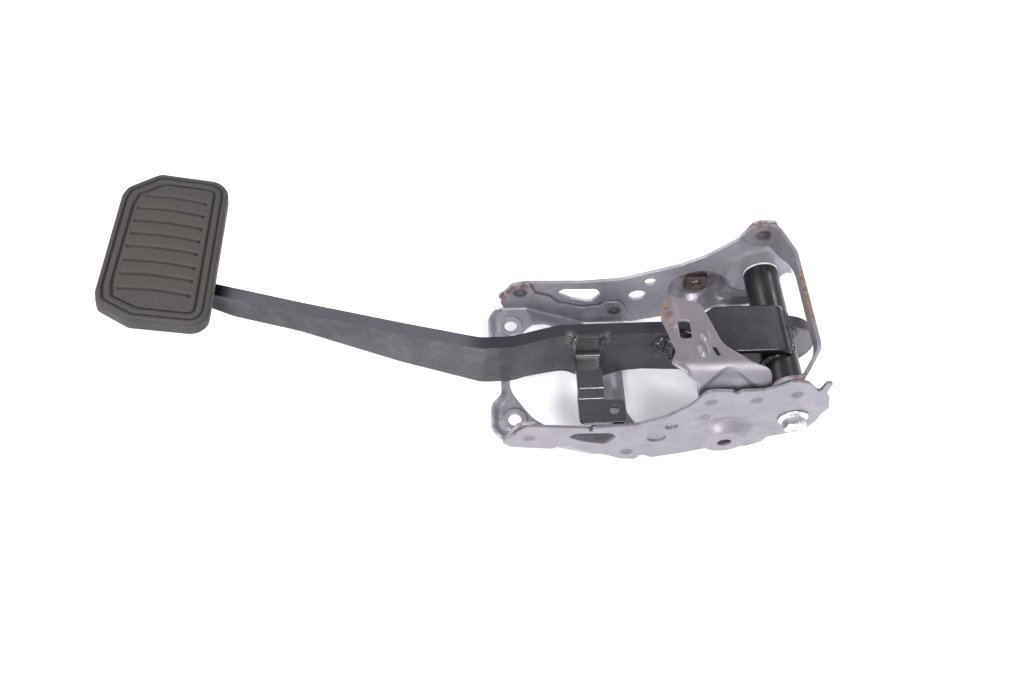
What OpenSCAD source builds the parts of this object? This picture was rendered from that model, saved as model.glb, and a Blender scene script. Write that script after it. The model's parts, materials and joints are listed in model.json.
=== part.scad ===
// Brake pedal of a car: a pressed steel bracket, and a pedal that swings in it on a through bolt.
// Millimetres. The origin lies midway between the two stud holes, on the face that meets the bulkhead.
// X runs from the stud holes to the pivot, Y across the car, Z away from the bulkhead.

/* [Bracket] */
// Distance between the inner faces of the two side plates
gap_w = 104; // [96:1:120]
// Thickness of the pressed sheet of the bracket
sheet_t = 2.2; // [1.6:0.1:3]
// Distance between the two stud holes
stud_pitch = 70; // [64:1:72]
// Diameter of a stud hole
stud_hole_d = 9; // [7:0.5:11]
// Radius of the raised ring round a stud hole
stud_ring_r = 7.7; // [6.5:0.1:9]
// How far each ear reaches past its stud hole, away from the pivot
ear_reach = 14.8; // [12:0.2:18]
// Height of the rolled rim round the ears
rim_h = 5; // [3:0.5:8]
// Width of the narrow web between the ears
front_web_w = 5; // [4:0.5:9]
// Drop of the base plate from the ears to its lower web
step_h = 21; // [15:1:24]
// Length of the slope between the ears and the lower web
step_run = 40; // [34:1:42]
// Width of the lower web
web_w = 19; // [14:1:24]
// Height of the rounded bead pressed into the lower web
bead_h = 3.5; // [2:0.5:5]
// Angle of the slope's bend lines to the plates
step_skew = 20; // [0:1:25]

/* [Weld bosses] */
// Distance from the stud holes to the weld bosses
boss_x = 126; // [118:1:130]
// Height of the weld bosses above the mounting face
boss_z = 15; // [12:1:18]
// How far a boss stands out of its plate
boss_out = 7.4; // [4:0.2:10]
// Radius of the near boss at its flat face
boss_face_r = 12.5; // [11:0.5:15]
// Radius of the far boss at its flat face
far_boss_face_r = 15; // [12:0.5:16.5]
// Radius of a boss where it leaves the plate
boss_root_r = 19; // [17.5:0.5:21]
// Diameter of the hole in a boss
boss_hole_d = 9.2; // [8:0.2:11]
// Side of the square weld nut
weld_nut_w = 14; // [12:0.5:17]
// Height of the weld nut
weld_nut_h = 4; // [3:0.5:7]
// Diameter of the thread's wall in the weld nut
nut_bore_d = 6.8; // [5:0.1:8.4]

/* [Pivot] */
// Distance from the stud holes to the pivot
pivot_x = 164; // [160:1:172]
// Height of the pivot above the mounting face
pivot_z = 34; // [31:1:37]
// Diameter of the pivot bolt
bolt_d = 8; // [6:0.5:9]
// Width across the flats of the bolt head and of the nut
bolt_af = 12; // [10:0.5:14]
// Diameter of the flange under the bolt head and the nut
bolt_flange_d = 17.8; // [15:0.2:20]
// Height of the bolt head with its flange
bolt_head_h = 7.6; // [6:0.2:9]
// Outer diameter of the sleeve that the bolt clamps
sleeve_d = 14; // [12:0.5:15]
// Running clearance between the sleeve and each bush, on the radius
run_gap = 0.05; // [0.02:0.01:0.1]
// Wall of a bush
bush_t = 1.5; // [1:0.1:2]
// Length of a bush inside the tube
bush_l = 18; // [10:1:30]
// Thickness of a bush's collar
collar_t = 1.2; // [0.8:0.1:2]
// Side play of the pedal between the plates, at each end
side_gap = 0.3; // [0.1:0.1:1]
// Outer diameter of the pivot tube
tube_d = 22; // [20.5:0.5:24]
// Inward step of the seat pressed round the pivot in the far plate
seat_in = 1.5; // [0.5:0.1:3]

/* [Pedal arm] */
// Thickness of the arm
arm_t = 8; // [6:0.5:10]
// Place of the arm's middle across the bracket at the pivot
arm_y = 3.75; // [2:0.25:6]
// Radius of the arm's round end
lobe_r = 25.7; // [23:0.1:27]
// Diameter of the clevis pin hole
clevis_d = 10; // [8:0.5:12]
// Distance from the pivot to the clevis pin hole, along the bracket
clevis_back = 111; // [106:1:114]
// Depth of the clevis pin hole below the pivot
clevis_drop = 26; // [23:1:29]

/* [Arm box] */
// Width of the box that braces the arm and the tube
box_w = 34; // [30:1:42]
// Thickness of the box's sheet
box_t = 2.5; // [2:0.1:3.2]
// Place of the box's middle across the bracket
box_y = -2; // [-4:0.5:3]
// Height of the box's walls
box_h = 34; // [26:1:38]
// Distance from the pivot to the end of the box on the arm
box_reach = 66; // [58:1:67]

/* [Side strip] */
// Thickness of the strip
strip_t = 3; // [2:0.1:4]
// Width of the strip
strip_w = 15.6; // [12:0.2:18]
// Width of the lug at the strip's end
lug_w = 28; // [24:1:32]
// Distance from the pivot to the strip's edge that is nearer the pad
strip_back = 125; // [120:1:130]
// Diameter of the hole in the lug
lug_hole_d = 6.4; // [4:0.2:8]

/* [Switch bracket] */
// Height of the switch bracket's face above the mounting face
switch_z = 71; // [69:0.5:80]
// Diameter of the switch hole
switch_hole_d = 14; // [10:0.5:15]
// Width of the switch hole between its flats
switch_hole_w = 8.5; // [6:0.5:10]
// Distance from the pivot to the switch hole
switch_hole_back = 64.5; // [62:0.5:66]
// Place of the switch hole across the bracket
switch_hole_y = -14.5; // [-17:0.5:-12]

/* [End strap] */
// Height of the strap that ties the plates together behind the pivot, at its middle
strap_h = 7; // [5:0.5:10]
// Distance from the pivot to the strap's outer face
strap_reach = 8; // [7:0.5:16]
// Height of the strap's upper edge above the pivot, at its middle
strap_top = 47.5; // [44:0.5:52]

/* [Pad] */
// Length of the pad, across the car
pad_l = 106.5; // [96:0.5:118]
// Width of the pad, along the arm
pad_w = 62.5; // [50:0.5:70]
// Thickness of the rubber at its rim
pad_h = 12; // [10:0.5:15]
// Distance from the stud holes back to the middle of the pad
pad_back = 206.5; // [195:0.5:215]
// Place of the pad's middle across the bracket
pad_y = 50.5; // [42:0.5:56]
// Height of the pad's face above the mounting face
pad_z = 83; // [80:0.5:88]
// How far the arm's end lies to the near side of the pad's middle
pad_side = 14; // [6:1:20]
// Tilt of the pad's face
pad_tilt = 15; // [8:1:20]
// Thickness of the steel plate inside the pad
pad_plate_t = 2.5; // [2:0.1:3.5]
// Number of grooves
groove_n = 8; // [5:1:9]
// Distance between neighbouring grooves
groove_pitch = 10.1; // [7:0.1:11]
// Width of a groove
groove_w = 2.6; // [1.5:0.1:4]
// Length of a groove
groove_l = 39; // [30:1:42]
// Depth of a groove
groove_deep = 1.6; // [0.8:0.1:2.4]

/* [Hidden] */
$fn = 48;
// Clearance between curved faces that are welded or pressed together
seat_gap = 0.15;
// Steps in each rounded corner
corner_n = 6;
in_y = gap_w / 2;
out_y = in_y + sheet_t;
flange_y = in_y - sheet_t;
tube_r = tube_d / 2;
sleeve_r = sleeve_d / 2;
bush_r = sleeve_r + run_gap + bush_t;
// The seat in the far plate, where the sleeve and the far bush end
seat_y = in_y - seat_in;
seat_r = tube_r + 4;
tube_near_y = -in_y + side_gap + collar_t;
tube_far_y = seat_y - side_gap - collar_t;
arm_near_y = arm_y - arm_t / 2;
arm_far_y = arm_y + arm_t / 2;
// Top of the arm between the ears and the pivot
arm_top = pivot_z + 11;
lobe_x = pivot_x + 1.6;
lobe_z = pivot_z - 12;
clevis_x = pivot_x - clevis_back;
clevis_z = pivot_z - clevis_drop;
// The box's top lies just above the arm's round end and the tube
box_under = max(lobe_z + lobe_r, pivot_z + tube_r) + 0.3;
box_top = box_under + box_t;
// The lower web, and the ends of the side flanges beside it
web_x1 = 74.5;
web_x0 = web_x1 - web_w;
flange_x1 = web_x1 + 5;
ear_y = stud_pitch / 2;
pad_x = -pad_back;
// Underside of the plate in the pad, where the arm is welded
plate_top = -pad_h / 2 - 1;
plate_under = plate_top - pad_plate_t;

// A vector of length one
function unit(v) = v / norm(v);

// The arc that rounds corner b = [x, y, radius] between its neighbours a and c
function corner_arc(a, b, c) =
    let (
        p = [b[0], b[1]],
        u = unit([a[0], a[1]] - p),
        v = unit([c[0], c[1]] - p),
        half = acos(max(-1, min(1, u * v))) / 2,
        room = 0.48 * min(norm([a[0], a[1]] - p), norm([c[0], c[1]] - p)),
        reach = b[2] == 0 || half > 89.5 ? 0 : min(b[2] / tan(half), room),
        r = reach * tan(half),
        m = p + unit(u + v) * (r / sin(half)),
        s = p + u * reach - m,
        e = p + v * reach - m,
        turn = atan2(s[0] * e[1] - s[1] * e[0], s * e),
        start = atan2(s[1], s[0])
    )
    reach == 0 ? [p] : [for (k = [0:corner_n]) m + r * [cos(start + turn * k / corner_n), sin(start + turn * k / corner_n)]];

// A closed outline whose corners are given as [x, y, radius]
function rounded(pts) =
    let (n = len(pts))
    [for (k = [0:n - 1]) each corner_arc(pts[(k + n - 1) % n], pts[k], pts[(k + 1) % n])];

// An open line whose inner corners are given as [x, y, radius]
function bent(pts) =
    let (n = len(pts))
    [
        for (k = [0:n - 1])
            each (k == 0 || k == n - 1 ? [[pts[k][0], pts[k][1]]] : corner_arc(pts[k - 1], pts[k], pts[k + 1]))
    ];

// The line moved sideways by d, to its left
function beside(pts, d) =
    let (n = len(pts))
    [
        for (k = [0:n - 1])
            let (
                a = unit(pts[max(k, 1)] - pts[max(k, 1) - 1]),
                b = unit(pts[min(k + 1, n - 1)] - pts[min(k + 1, n - 1) - 1]),
                m = unit(a + b)
            )
            pts[k] + d / (m * a) * [-m[1], m[0]]
    ];

// The outline of a sheet of thickness t that lies along an open line
function ribbon(pts, t) =
    let (side = beside(pts, t), n = len(pts))
    concat(pts, [for (k = [n - 1:-1:0]) side[k]]);

function flip_y(pts) = [for (p = pts) [p[0], -p[1], p[2]]];
function backwards(pts) = [for (k = [len(pts) - 1:-1:0]) pts[k]];

// A point of the pad, u along its width and w out of its face, as [x, z]
function pad_pt(u, w) = [
    pad_x + u * cos(pad_tilt) + w * sin(pad_tilt),
    pad_z - u * sin(pad_tilt) + w * cos(pad_tilt)
];

// Stands an XZ outline up between two places across the bracket
module wall(y0, y1) translate([0, y1, 0]) rotate([90, 0, 0]) linear_extrude(y1 - y0) children();

// Stands a YZ outline up between two places along the bracket
module slice(x0, x1) translate([x0, 0, 0]) rotate([90, 0, 90]) linear_extrude(x1 - x0) children();

// A round bar across the bracket
module bar_y(x, z, r, y0, y1) translate([x, y1, z]) rotate([90, 0, 0]) cylinder(r = r, h = y1 - y0);

// A revolved outline whose axis runs across the bracket, with its own Y along +Y
module turned_y(x, z) translate([x, 0, z]) rotate([-90, 0, 0]) rotate_extrude() children();

// Where the slope starts at the side plates, and where its floor ends beside the rolled corner
step_x = 9.6;
roll_w = 7;
roll_y = in_y - roll_w;
step_tilt = atan(step_h / step_run);

// Outline of the base plate seen from above, without its opening
base_half = [
    [-front_web_w - 2.5, ear_y - 17, 8], [-ear_reach, ear_y - 9, 8], [-ear_reach, ear_y + 7, 9],
    [-8, in_y - 3.5, 5], [0, in_y, 4], [step_x + 3, in_y, 0], [step_x + 3, roll_y, 0],
    [flange_x1, roll_y, 0], [flange_x1, in_y - 21, 4], [web_x1, in_y - 30, 8]
];
base_outline = rounded(concat(backwards(flip_y(base_half)), base_half));

// Outline of the opening between the two webs
opening_half = [
    [-2.5, in_y - 38, 20], [12, in_y - 16, 20], [25, in_y - 11, 8], [40, in_y - 13, 6], [web_x0, in_y - 22, 14]
];
opening_outline = rounded(concat(backwards(flip_y(opening_half)), opening_half));

// Outline of an upturned side flange of the base plate, as [x, z]
flange_outline = rounded([
    [-4, 0, 0], [-6, 9, 3], [1, 29.5, 7], [13, 29.5, 6], [16.5, 17, 5], [27, 12, 5], [33.5, 3.5, 6],
    [61, -1, 6], [65, 4, 4], [76, 4, 5], [flange_x1, -5, 5], [flange_x1, roll_w - step_h - 2, 0],
    [step_x + step_run, roll_w - step_h - 2, 3], [step_x + 3, 2, 0], [step_x, 0, 0]
]);

// The step of the base plate seen from the side
step_line = bent([
    [-60, 0, 0], [0, 0, 5], [step_run * cos(step_skew), -step_h, 8], [150, -step_h, 0]
]);

// Half of the base plate's floor: flat webs in the middle, and beside them the slope with skewed bend lines
module floor_half() {
    web_y = in_y - 22;
    intersection() {
        linear_extrude(3 * step_h, center = true)
            intersection() {
                difference() {
                    polygon(base_outline);
                    polygon(opening_outline);
                }
                translate([-50, 0]) square([200, 60]);
            }
        union() {
            intersection() {
                translate([step_x, in_y, 0]) rotate([0, 0, step_skew])
                    wall(-120, 60) polygon(ribbon(step_line, sheet_t));
                translate([-50, web_y, -50]) cube([200, in_y, 100]);
            }
            translate([-50, -1, 0]) cube([60, web_y + 1.5, sheet_t]);
            translate([web_x0 - 15, -1, -step_h]) cube([60, web_y + 1.5, sheet_t]);
        }
    }
}

// The bent-up rim that runs round the ears; it leaves the narrow web free, where the arm comes to lie
module ear_rim() {
    linear_extrude(rim_h)
        intersection() {
            difference() {
                polygon(base_outline);
                polygon(rounded([
                    for (p = concat(backwards(flip_y(base_half)), base_half))
                        [p[0] < 0 ? p[0] + sheet_t : p[0], p[1], max(p[2] - sheet_t, 0)]
                ]));
            }
            for (side = [0, 1]) mirror([0, side, 0]) translate([-50, ear_y - 22]) square([50, in_y]);
        }
}

module base_plate() {
    color([0.55, 0.54, 0.57])
    difference() {
        union() {
            floor_half();
            mirror([0, 1, 0]) floor_half();
            for (side = [0, 1])
                mirror([0, side, 0]) {
                    wall(flange_y, in_y) polygon(flange_outline);
                    translate([0, stud_pitch / 2, sheet_t]) cylinder(r1 = stud_ring_r + 0.8, r2 = stud_ring_r, h = 0.8);
                }
            ear_rim();
            lower_bead();
            for (side = [0, 1]) mirror([0, side, 0]) rolled_corner();
        }
        for (side = [-1, 1])
            translate([0, side * stud_pitch / 2, -1]) cylinder(d = stud_hole_d, h = sheet_t + 4);
    }
}

// The slanting corner between the floor and a side flange, along the slope and the lower web
module rolled_corner() {
    slab_w = roll_w * sqrt(2) - 0.4;
    translate([step_x, roll_y, 0]) rotate([0, step_tilt, 0]) rotate([45, 0, 0])
        cube([step_run / cos(step_tilt), slab_w, sheet_t]);
    translate([step_x + step_run, roll_y, -step_h]) rotate([45, 0, 0])
        cube([flange_x1 - step_x - step_run, slab_w, sheet_t]);
}

// The rounded bead along the lower web, open underneath
module lower_bead() {
    bead_r = (bead_h * bead_h + web_w * web_w / 9) / (2 * bead_h);
    floor_z = -step_h + sheet_t;
    wall(18 - in_y, in_y - 18)
        intersection() {
            translate([(web_x0 + web_x1) / 2, floor_z + bead_h - bead_r]) circle(r = bead_r);
            translate([web_x0, floor_z]) square([web_w, bead_h + 1]);
        }
}

// Outlines of the side plates, as [x, z, corner radius]
near_outline = rounded([
    [-8.5, 10, 2.5], [-3, 3.5, 3], [10, 1, 4], [23, -1.5, 2], [25.5, 2, 1], [32.5, 1, 3], [54, -11.5, 10],
    [67, -20, 6], [77, -22, 2], [78.5, -16.5, 1], [82.5, -16, 1], [87, -20, 4], [105, -15, 8],
    [boss_x - 6, boss_z - 24, 10], [boss_x + 20, boss_z - 22.5, 6],
    [pivot_x - 10, pivot_z - 36, 5], [pivot_x - 8.5, pivot_z - 29.5, 3], [pivot_x + 10, pivot_z - 22, 8],
    [pivot_x + 15.5, pivot_z - 8, 6], [pivot_x + 16.5, pivot_z + 4, 4], [pivot_x + 19, pivot_z + 9, 3],
    [pivot_x + 16, pivot_z + 20, 5], [pivot_x + 12, pivot_z + 27, 2], [pivot_x + 12.5, pivot_z + 38, 1],
    [pivot_x + 9.5, pivot_z + 38, 1], [pivot_x + 8.5, pivot_z + 29, 1.5], [pivot_x + 6, pivot_z + 30, 3],
    [pivot_x - 1, pivot_z + 39, 5],
    [pivot_x - 9, pivot_z + 42, 7], [pivot_x - 17, pivot_z + 35, 4], [pivot_x - 24, pivot_z + 32, 4],
    [boss_x + 1.5, boss_z + 51, 1], [boss_x - 1.5, boss_z + 47.5, 1], [boss_x - 4, boss_z + 51, 1.5],
    [boss_x - 18, boss_z + 53, 6], [boss_x - 25, boss_z + 35, 6], [89.5, 37.5, 8], [74, 27.5, 12],
    [48, 24.5, 8], [6, 30.5, 9], [-1, 20, 3]
]);

// The wavy part of the far plate's lower edge, which is bent inwards as a lip
lip_edge = [
    [boss_x - 6, boss_z - 28, 6], [boss_x + 5, boss_z - 21, 8], [boss_x + 13.5, boss_z - 14, 6],
    [boss_x + 20, boss_z - 13.2, 6], [pivot_x - 10.5, pivot_z - 34, 6], [pivot_x + 2, pivot_z - 32.5, 8]
];
far_outline = rounded(concat([
    [-8, 12, 2], [-2, 7.5, 2], [10, 4, 4], [23, -0.5, 2], [25.5, 3, 1], [32.5, 2, 3], [54, -11.5, 10],
    [67, -20, 6], [86, -23, 8], [106, -18, 8]
], lip_edge, [
    [pivot_x + 12, pivot_z - 20, 6],
    [pivot_x + 16, pivot_z - 14, 5], [pivot_x + 15, pivot_z - 6, 5], [pivot_x + 18.5, pivot_z - 1, 3],
    [pivot_x + 22.5, pivot_z - 4, 1.5], [pivot_x + 17.5, pivot_z + 7, 6], [pivot_x + 9, pivot_z + 25, 6],
    [pivot_x - 1, pivot_z + 49, 5], [pivot_x - 14, pivot_z + 50, 7], [pivot_x - 21, pivot_z + 32, 8],
    [boss_x, boss_z + 34.5, 12], [boss_x - 15, boss_z + 25.5, 8], [92, 34, 10], [74, 27.5, 12],
    [48, 25.5, 8], [8, 27.5, 9], [-1, 20, 3]
]));

// The three-cornered hole of both side plates, and their round holes as [x, z, radius]
window_outline = rounded([[32, 14.6, 2.8], [36.8, 19.2, 3], [57.6, 18.4, 3.2], [61.2, 12.4, 2.5], [56, 1.8, 3.6], [42, 7, 9]]);
plate_holes = [[93.4, 24.3, 4.15], [86.5, 8.8, 6.05]];

// Clearance of the pivot bolt in the plates and in the sleeve, on the radius
bolt_gap = 0.25;

// A boss pressed out of the far plate, solid or as its hollow
module boss_form(face_r, grow) {
    turned_y(boss_x, boss_z)
        polygon([
            [0, in_y - 20], [boss_root_r + grow, in_y - 20], [boss_root_r + grow, in_y + grow],
            [face_r + grow * 0.6, in_y + boss_out + grow], [0, in_y + boss_out + grow]
        ]);
}

// What both side plates share, made as the far plate
module side_blank(outline, face_r) {
    difference() {
        union() {
            wall(in_y, out_y) polygon(outline);
            intersection() {
                boss_form(face_r, sheet_t);
                wall(in_y, out_y + boss_out) translate([boss_x, boss_z]) circle(r = boss_root_r + 20);
            }
        }
        boss_form(face_r, 0);
        wall(in_y - 1, out_y + 1) polygon(window_outline);
        for (hole = plate_holes) bar_y(hole[0], hole[1], hole[2], in_y - 1, out_y + 1);
        bar_y(boss_x, boss_z, boss_hole_d / 2, in_y, out_y + boss_out + 1);
        bar_y(pivot_x, pivot_z, bolt_d / 2 + bolt_gap, in_y - 5, out_y + 1);
    }
}

module near_side_plate() {
    color([0.68, 0.66, 0.7]) mirror([0, 1, 0]) side_blank(near_outline, boss_face_r);
}

// Depth of the inward lip of the far plate
lip_deep = 4;

module far_side_plate() {
    color([0.52, 0.51, 0.54])
    difference() {
        union() {
            side_blank(far_outline, far_boss_face_r);
            wall(in_y - lip_deep, in_y + 1) polygon(ribbon(bent([for (p = lip_edge) [p[0], p[1] + 0.2, p[2]]]), sheet_t));
            // The round seat pressed inwards for the sleeve and the bush
            turned_y(pivot_x, pivot_z)
                polygon([[0, seat_y], [seat_r, seat_y], [seat_r + 3 * seat_in, in_y], [0, in_y]]);
        }
        bar_y(pivot_x, pivot_z, bolt_d / 2 + bolt_gap, in_y - 5, out_y + 1);
        turned_y(pivot_x, pivot_z)
            polygon([
                [0, seat_y + sheet_t], [seat_r - 0.6, seat_y + sheet_t], [seat_r - 0.6 + 2 * seat_in, out_y + 1],
                [0, out_y + 1]
            ]);
    }
}

module weld_nut() {
    c = weld_nut_w / 2;
    difference() {
        wall(in_y + boss_out - weld_nut_h, in_y + boss_out)
            translate([boss_x, boss_z]) polygon(rounded([[-c, -c, 3], [c, -c, 3], [c, c, 3], [-c, c, 3]]));
        bar_y(boss_x, boss_z, nut_bore_d / 2, in_y, out_y + boss_out + 1);
    }
}

module near_weld_nut() color([0.45, 0.33, 0.26]) mirror([0, 1, 0]) weld_nut();

module far_weld_nut() color([0.45, 0.33, 0.26]) weld_nut();

// Bend line of the strap seen from above, along its outer face
strap_x = pivot_x + strap_reach;
strap_line = bent([
    [strap_x - 27, in_y, 0], [strap_x - 9, in_y, 8], [strap_x, in_y - 20, 12],
    [strap_x, -in_y + 16, 8], [strap_x - 11, -in_y, 8], [strap_x - 27, -in_y, 0]
]);

// Its outlines seen along the bracket, as [y, z above the pivot], and from the side, as [x, z above the pivot]
strap_end_view = rounded([
    [-in_y - 1, 19, 0], [-in_y + 5, 21, 6], [-in_y + 19, strap_top - strap_h, 10],
    [in_y - 33, strap_top - strap_h, 12], [in_y - 14, 31, 8], [in_y + 1, 30.5, 0],
    [in_y + 1, strap_top + 1.5, 0], [in_y - 10, strap_top + 1.5, 8], [in_y - 20, strap_top, 8],
    [-in_y + 20, strap_top, 8], [-in_y + 9, strap_top - 5.5, 8], [-in_y - 1, strap_top - 5.5, 0]
]);
strap_side_view = rounded([
    [strap_x - 27, 15, 8], [strap_x - 27, 40, 0], [strap_x - 26, strap_top + 1.5, 7],
    [strap_x + 5, strap_top + 5, 0], [strap_x + 5, 15, 0]
]);

module end_strap() {
    color([0.56, 0.54, 0.56])
    intersection() {
        linear_extrude(pivot_z + 2 * strap_top) polygon(ribbon(strap_line, -sheet_t));
        translate([0, 0, pivot_z]) slice(pivot_x - 30, pivot_x + 40) polygon(strap_end_view);
        translate([0, 0, pivot_z]) wall(-in_y - 5, in_y + 5) polygon(strap_side_view);
    }
}

// Outline of the switch bracket seen from above
switch_outline = rounded([
    [pivot_x - 77, -6, 5], [pivot_x - 75, 5, 4], [pivot_x - 68, 8.5, 5], [pivot_x - 53, 3, 6],
    [pivot_x - 44.5, -25, 14], [pivot_x - 30, -37, 10], [pivot_x - 18.5, -42, 6], [pivot_x - 18, -in_y, 0],
    [pivot_x - 61, -in_y, 0], [pivot_x - 66, -45, 5], [pivot_x - 75, -36, 3], [pivot_x - 71, -28, 5]
]);

// The sheet of the switch bracket seen along the arm, along its upper face
switch_line = bent([
    [20, switch_z, 0], [-in_y + 12, switch_z, 7], [-flange_y, switch_z - 9, 4], [-flange_y, switch_z - 24, 0]
]);

module switch_bracket() {
    color([0.6, 0.58, 0.61])
    difference() {
        intersection() {
            linear_extrude(2 * switch_z) polygon(switch_outline);
            slice(0, 2 * pivot_x) polygon(ribbon(switch_line, sheet_t));
        }
        // The hole for the switch, round with two flats
        translate([pivot_x - switch_hole_back, switch_hole_y, switch_z - 10])
            intersection() {
                cylinder(d = switch_hole_d, h = 20);
                translate([-0.45 * switch_hole_w, -switch_hole_d, 0])
                    cube([switch_hole_w, switch_hole_d * 2, 20]);
            }
        translate([pivot_x - 49, -28.5, switch_z - 10]) {
            cylinder(d = 5, h = 20);
            translate([0, -2.5, 0]) rotate([0, 0, 25]) cube([5, 5, 20]);
        }
    }
}

// A hexagon head or nut with its round flange, growing from the plane y = 0
module hex_flange(h) {
    rotate([-90, 0, 0]) {
        cylinder(d = bolt_flange_d, h = 1.4);
        cylinder(d1 = bolt_flange_d - 1, d2 = bolt_af, h = 2.8);
        intersection() {
            cylinder(d = bolt_af / cos(30), h = h, $fn = 6);
            cylinder(r = bolt_af / 2 * 1.09, h = h);
        }
    }
}

module pivot_bolt() {
    color([0.82, 0.84, 0.84]) {
        translate([pivot_x, -out_y, pivot_z]) mirror([0, 1, 0]) hex_flange(bolt_head_h);
        bar_y(pivot_x, pivot_z, bolt_d / 2, -out_y - 1, out_y + bolt_head_h + 3);
    }
}

module pivot_nut() {
    color([0.75, 0.76, 0.76])
    difference() {
        translate([pivot_x, seat_y + sheet_t, pivot_z]) hex_flange(bolt_head_h + 0.4);
        bar_y(pivot_x, pivot_z, bolt_d / 2 + 0.1, 0, out_y + 30);
    }
}

module pivot_sleeve() {
    color([0.6, 0.6, 0.62])
    difference() {
        bar_y(pivot_x, pivot_z, sleeve_r, -in_y, seat_y);
        bar_y(pivot_x, pivot_z, bolt_d / 2 + bolt_gap, -in_y - 1, in_y + 1);
    }
}

// Middle line of the arm seen from above
arm_slope = (pad_y - pad_side + 3) / (pad_x + 20);
arm_plan = bent([
    [pad_x - 40, -3 + arm_slope * (pad_x - 40 + 20), 0], [-20, -3, 30], [0, -3, 20], [29, arm_y, 30],
    [lobe_x + lobe_r + 5, arm_y, 0]
]);

// Outline of the arm seen from the side, without its round end
arm_foot = sheet_t + 0.3;
arm_outline = rounded(concat(
    [
        for (p = [[-21.5, plate_under, 0], [20, plate_under, 0], [23, -pad_h - 1.5, 3], [31, -pad_h - 1.4, 20]])
            [each pad_pt(p[0], p[1]), p[2]]
    ],
    [
        [pad_x + 78, 55, 80], [-68, 48.5, 80], [-20, arm_top - 0.5, 60], [20, arm_top, 40],
        [pivot_x - box_reach, arm_top, 10], [pivot_x - box_reach + 24, lobe_z + lobe_r - 0.6, 10],
        [lobe_x - 4, lobe_z + lobe_r - 0.6, 0], [lobe_x + 12, lobe_z, 0], [lobe_x - 4, lobe_z - lobe_r + 0.6, 0],
        [pivot_x - 47, lobe_z - lobe_r + 1, 30], [pivot_x - 80, lobe_z - lobe_r + 4.5, 12],
        [clevis_x + 17, clevis_z - 9, 6], [clevis_x + 4, clevis_z - 17, 10], [clevis_x - 8, clevis_z - 15, 8],
        [clevis_x - 18, clevis_z - 7, 10], [8, 4.5, 10], [-3, arm_foot, 6], [-21, arm_foot, 20],
        [-72, 13.6, 60], [-133, 33.5, 60], [pad_x + 32, 40, 20]
    ],
    [[each pad_pt(-21.5, plate_under - 12), 6]]
));

module pedal_arm() {
    color([0.16, 0.16, 0.17])
    difference() {
        intersection() {
            union() {
                wall(-40, 80) polygon(arm_outline);
                bar_y(lobe_x, lobe_z, lobe_r, arm_near_y - 3, arm_far_y + 3);
            }
            translate([0, 0, -60]) linear_extrude(200)
                polygon(ribbon(beside(arm_plan, -arm_t / 2), arm_t));
        }
        bar_y(pivot_x, pivot_z, tube_r + seat_gap, arm_near_y - 10, arm_far_y + 10);
        bar_y(clevis_x, clevis_z, clevis_d / 2, arm_near_y - 10, arm_far_y + 10);
    }
}

module pivot_tube() {
    color([0.1, 0.1, 0.11])
    difference() {
        bar_y(pivot_x, pivot_z, tube_r, tube_near_y, tube_far_y);
        bar_y(pivot_x, pivot_z, bush_r + run_gap, -in_y, in_y);
    }
}

// A collared bush, with its collar's outer face on the plane y = 0 and its body along +Y
module bush() {
    difference() {
        union() {
            bar_y(0, 0, bush_r, 0, collar_t + bush_l);
            bar_y(0, 0, tube_r + 0.3, 0, collar_t);
        }
        bar_y(0, 0, sleeve_r + run_gap, -1, collar_t + bush_l + 1);
    }
}

module near_bush() color([0.85, 0.84, 0.8]) translate([pivot_x, -in_y + side_gap, pivot_z]) bush();

module far_bush() {
    color([0.85, 0.84, 0.8]) translate([pivot_x, seat_y - side_gap, pivot_z]) mirror([0, 1, 0]) bush();
}

// The box seen from above: its outer outline, and its hollow with g = the sheet's thickness
box_near = box_y - box_w / 2;
box_far = box_y + box_w / 2;
function box_outline(g) = [
    [pivot_x + (g > 0 ? 9 : 4), box_near + g], [pivot_x - 30, box_near + g],
    [pivot_x - box_reach + 6, arm_near_y - box_t - seat_gap + g],
    [pivot_x - box_reach - g, arm_near_y - box_t - seat_gap + g],
    [pivot_x - box_reach - g, arm_far_y + box_t + seat_gap - g],
    [pivot_x - 46 + g / 2, arm_far_y + box_t + seat_gap - g],
    [pivot_x - 39 + g / 2, box_far - g], [pivot_x + (g > 0 ? 9 : 4), box_far - g]
];

module arm_box() {
    color([0.2, 0.2, 0.21])
    difference() {
        translate([0, 0, box_top - box_h]) linear_extrude(box_h) polygon(box_outline(0));
        translate([0, 0, box_top - box_h - 1]) linear_extrude(box_under - box_top + box_h + 1)
            polygon(box_outline(box_t));
        bar_y(pivot_x, pivot_z, tube_r + seat_gap, -in_y, in_y);
        // The walls stop at the tube
        translate([pivot_x, -in_y, pivot_z - 60]) cube([60, gap_w, 60 + 0.7 * tube_r]);
    }
}

// The strip seen along the arm, along its upper and inner face
strip_x0 = pivot_x - strip_back;
strip_z = pivot_z - 7;
lug_z = strip_z - 5;
strip_end_y = -flange_y + 1.5;
lug_y = strip_end_y + 14.8;
strip_line = bent([
    [arm_near_y, arm_top + 2, 0], [arm_near_y, strip_z - strip_t, strip_t + 1.5],
    [lug_y + 7.5, strip_z - strip_t, strip_t + 1], [lug_y + 2.5, lug_z - strip_t, strip_t + 1],
    [strip_end_y, lug_z - strip_t, 0]
]);

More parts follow.
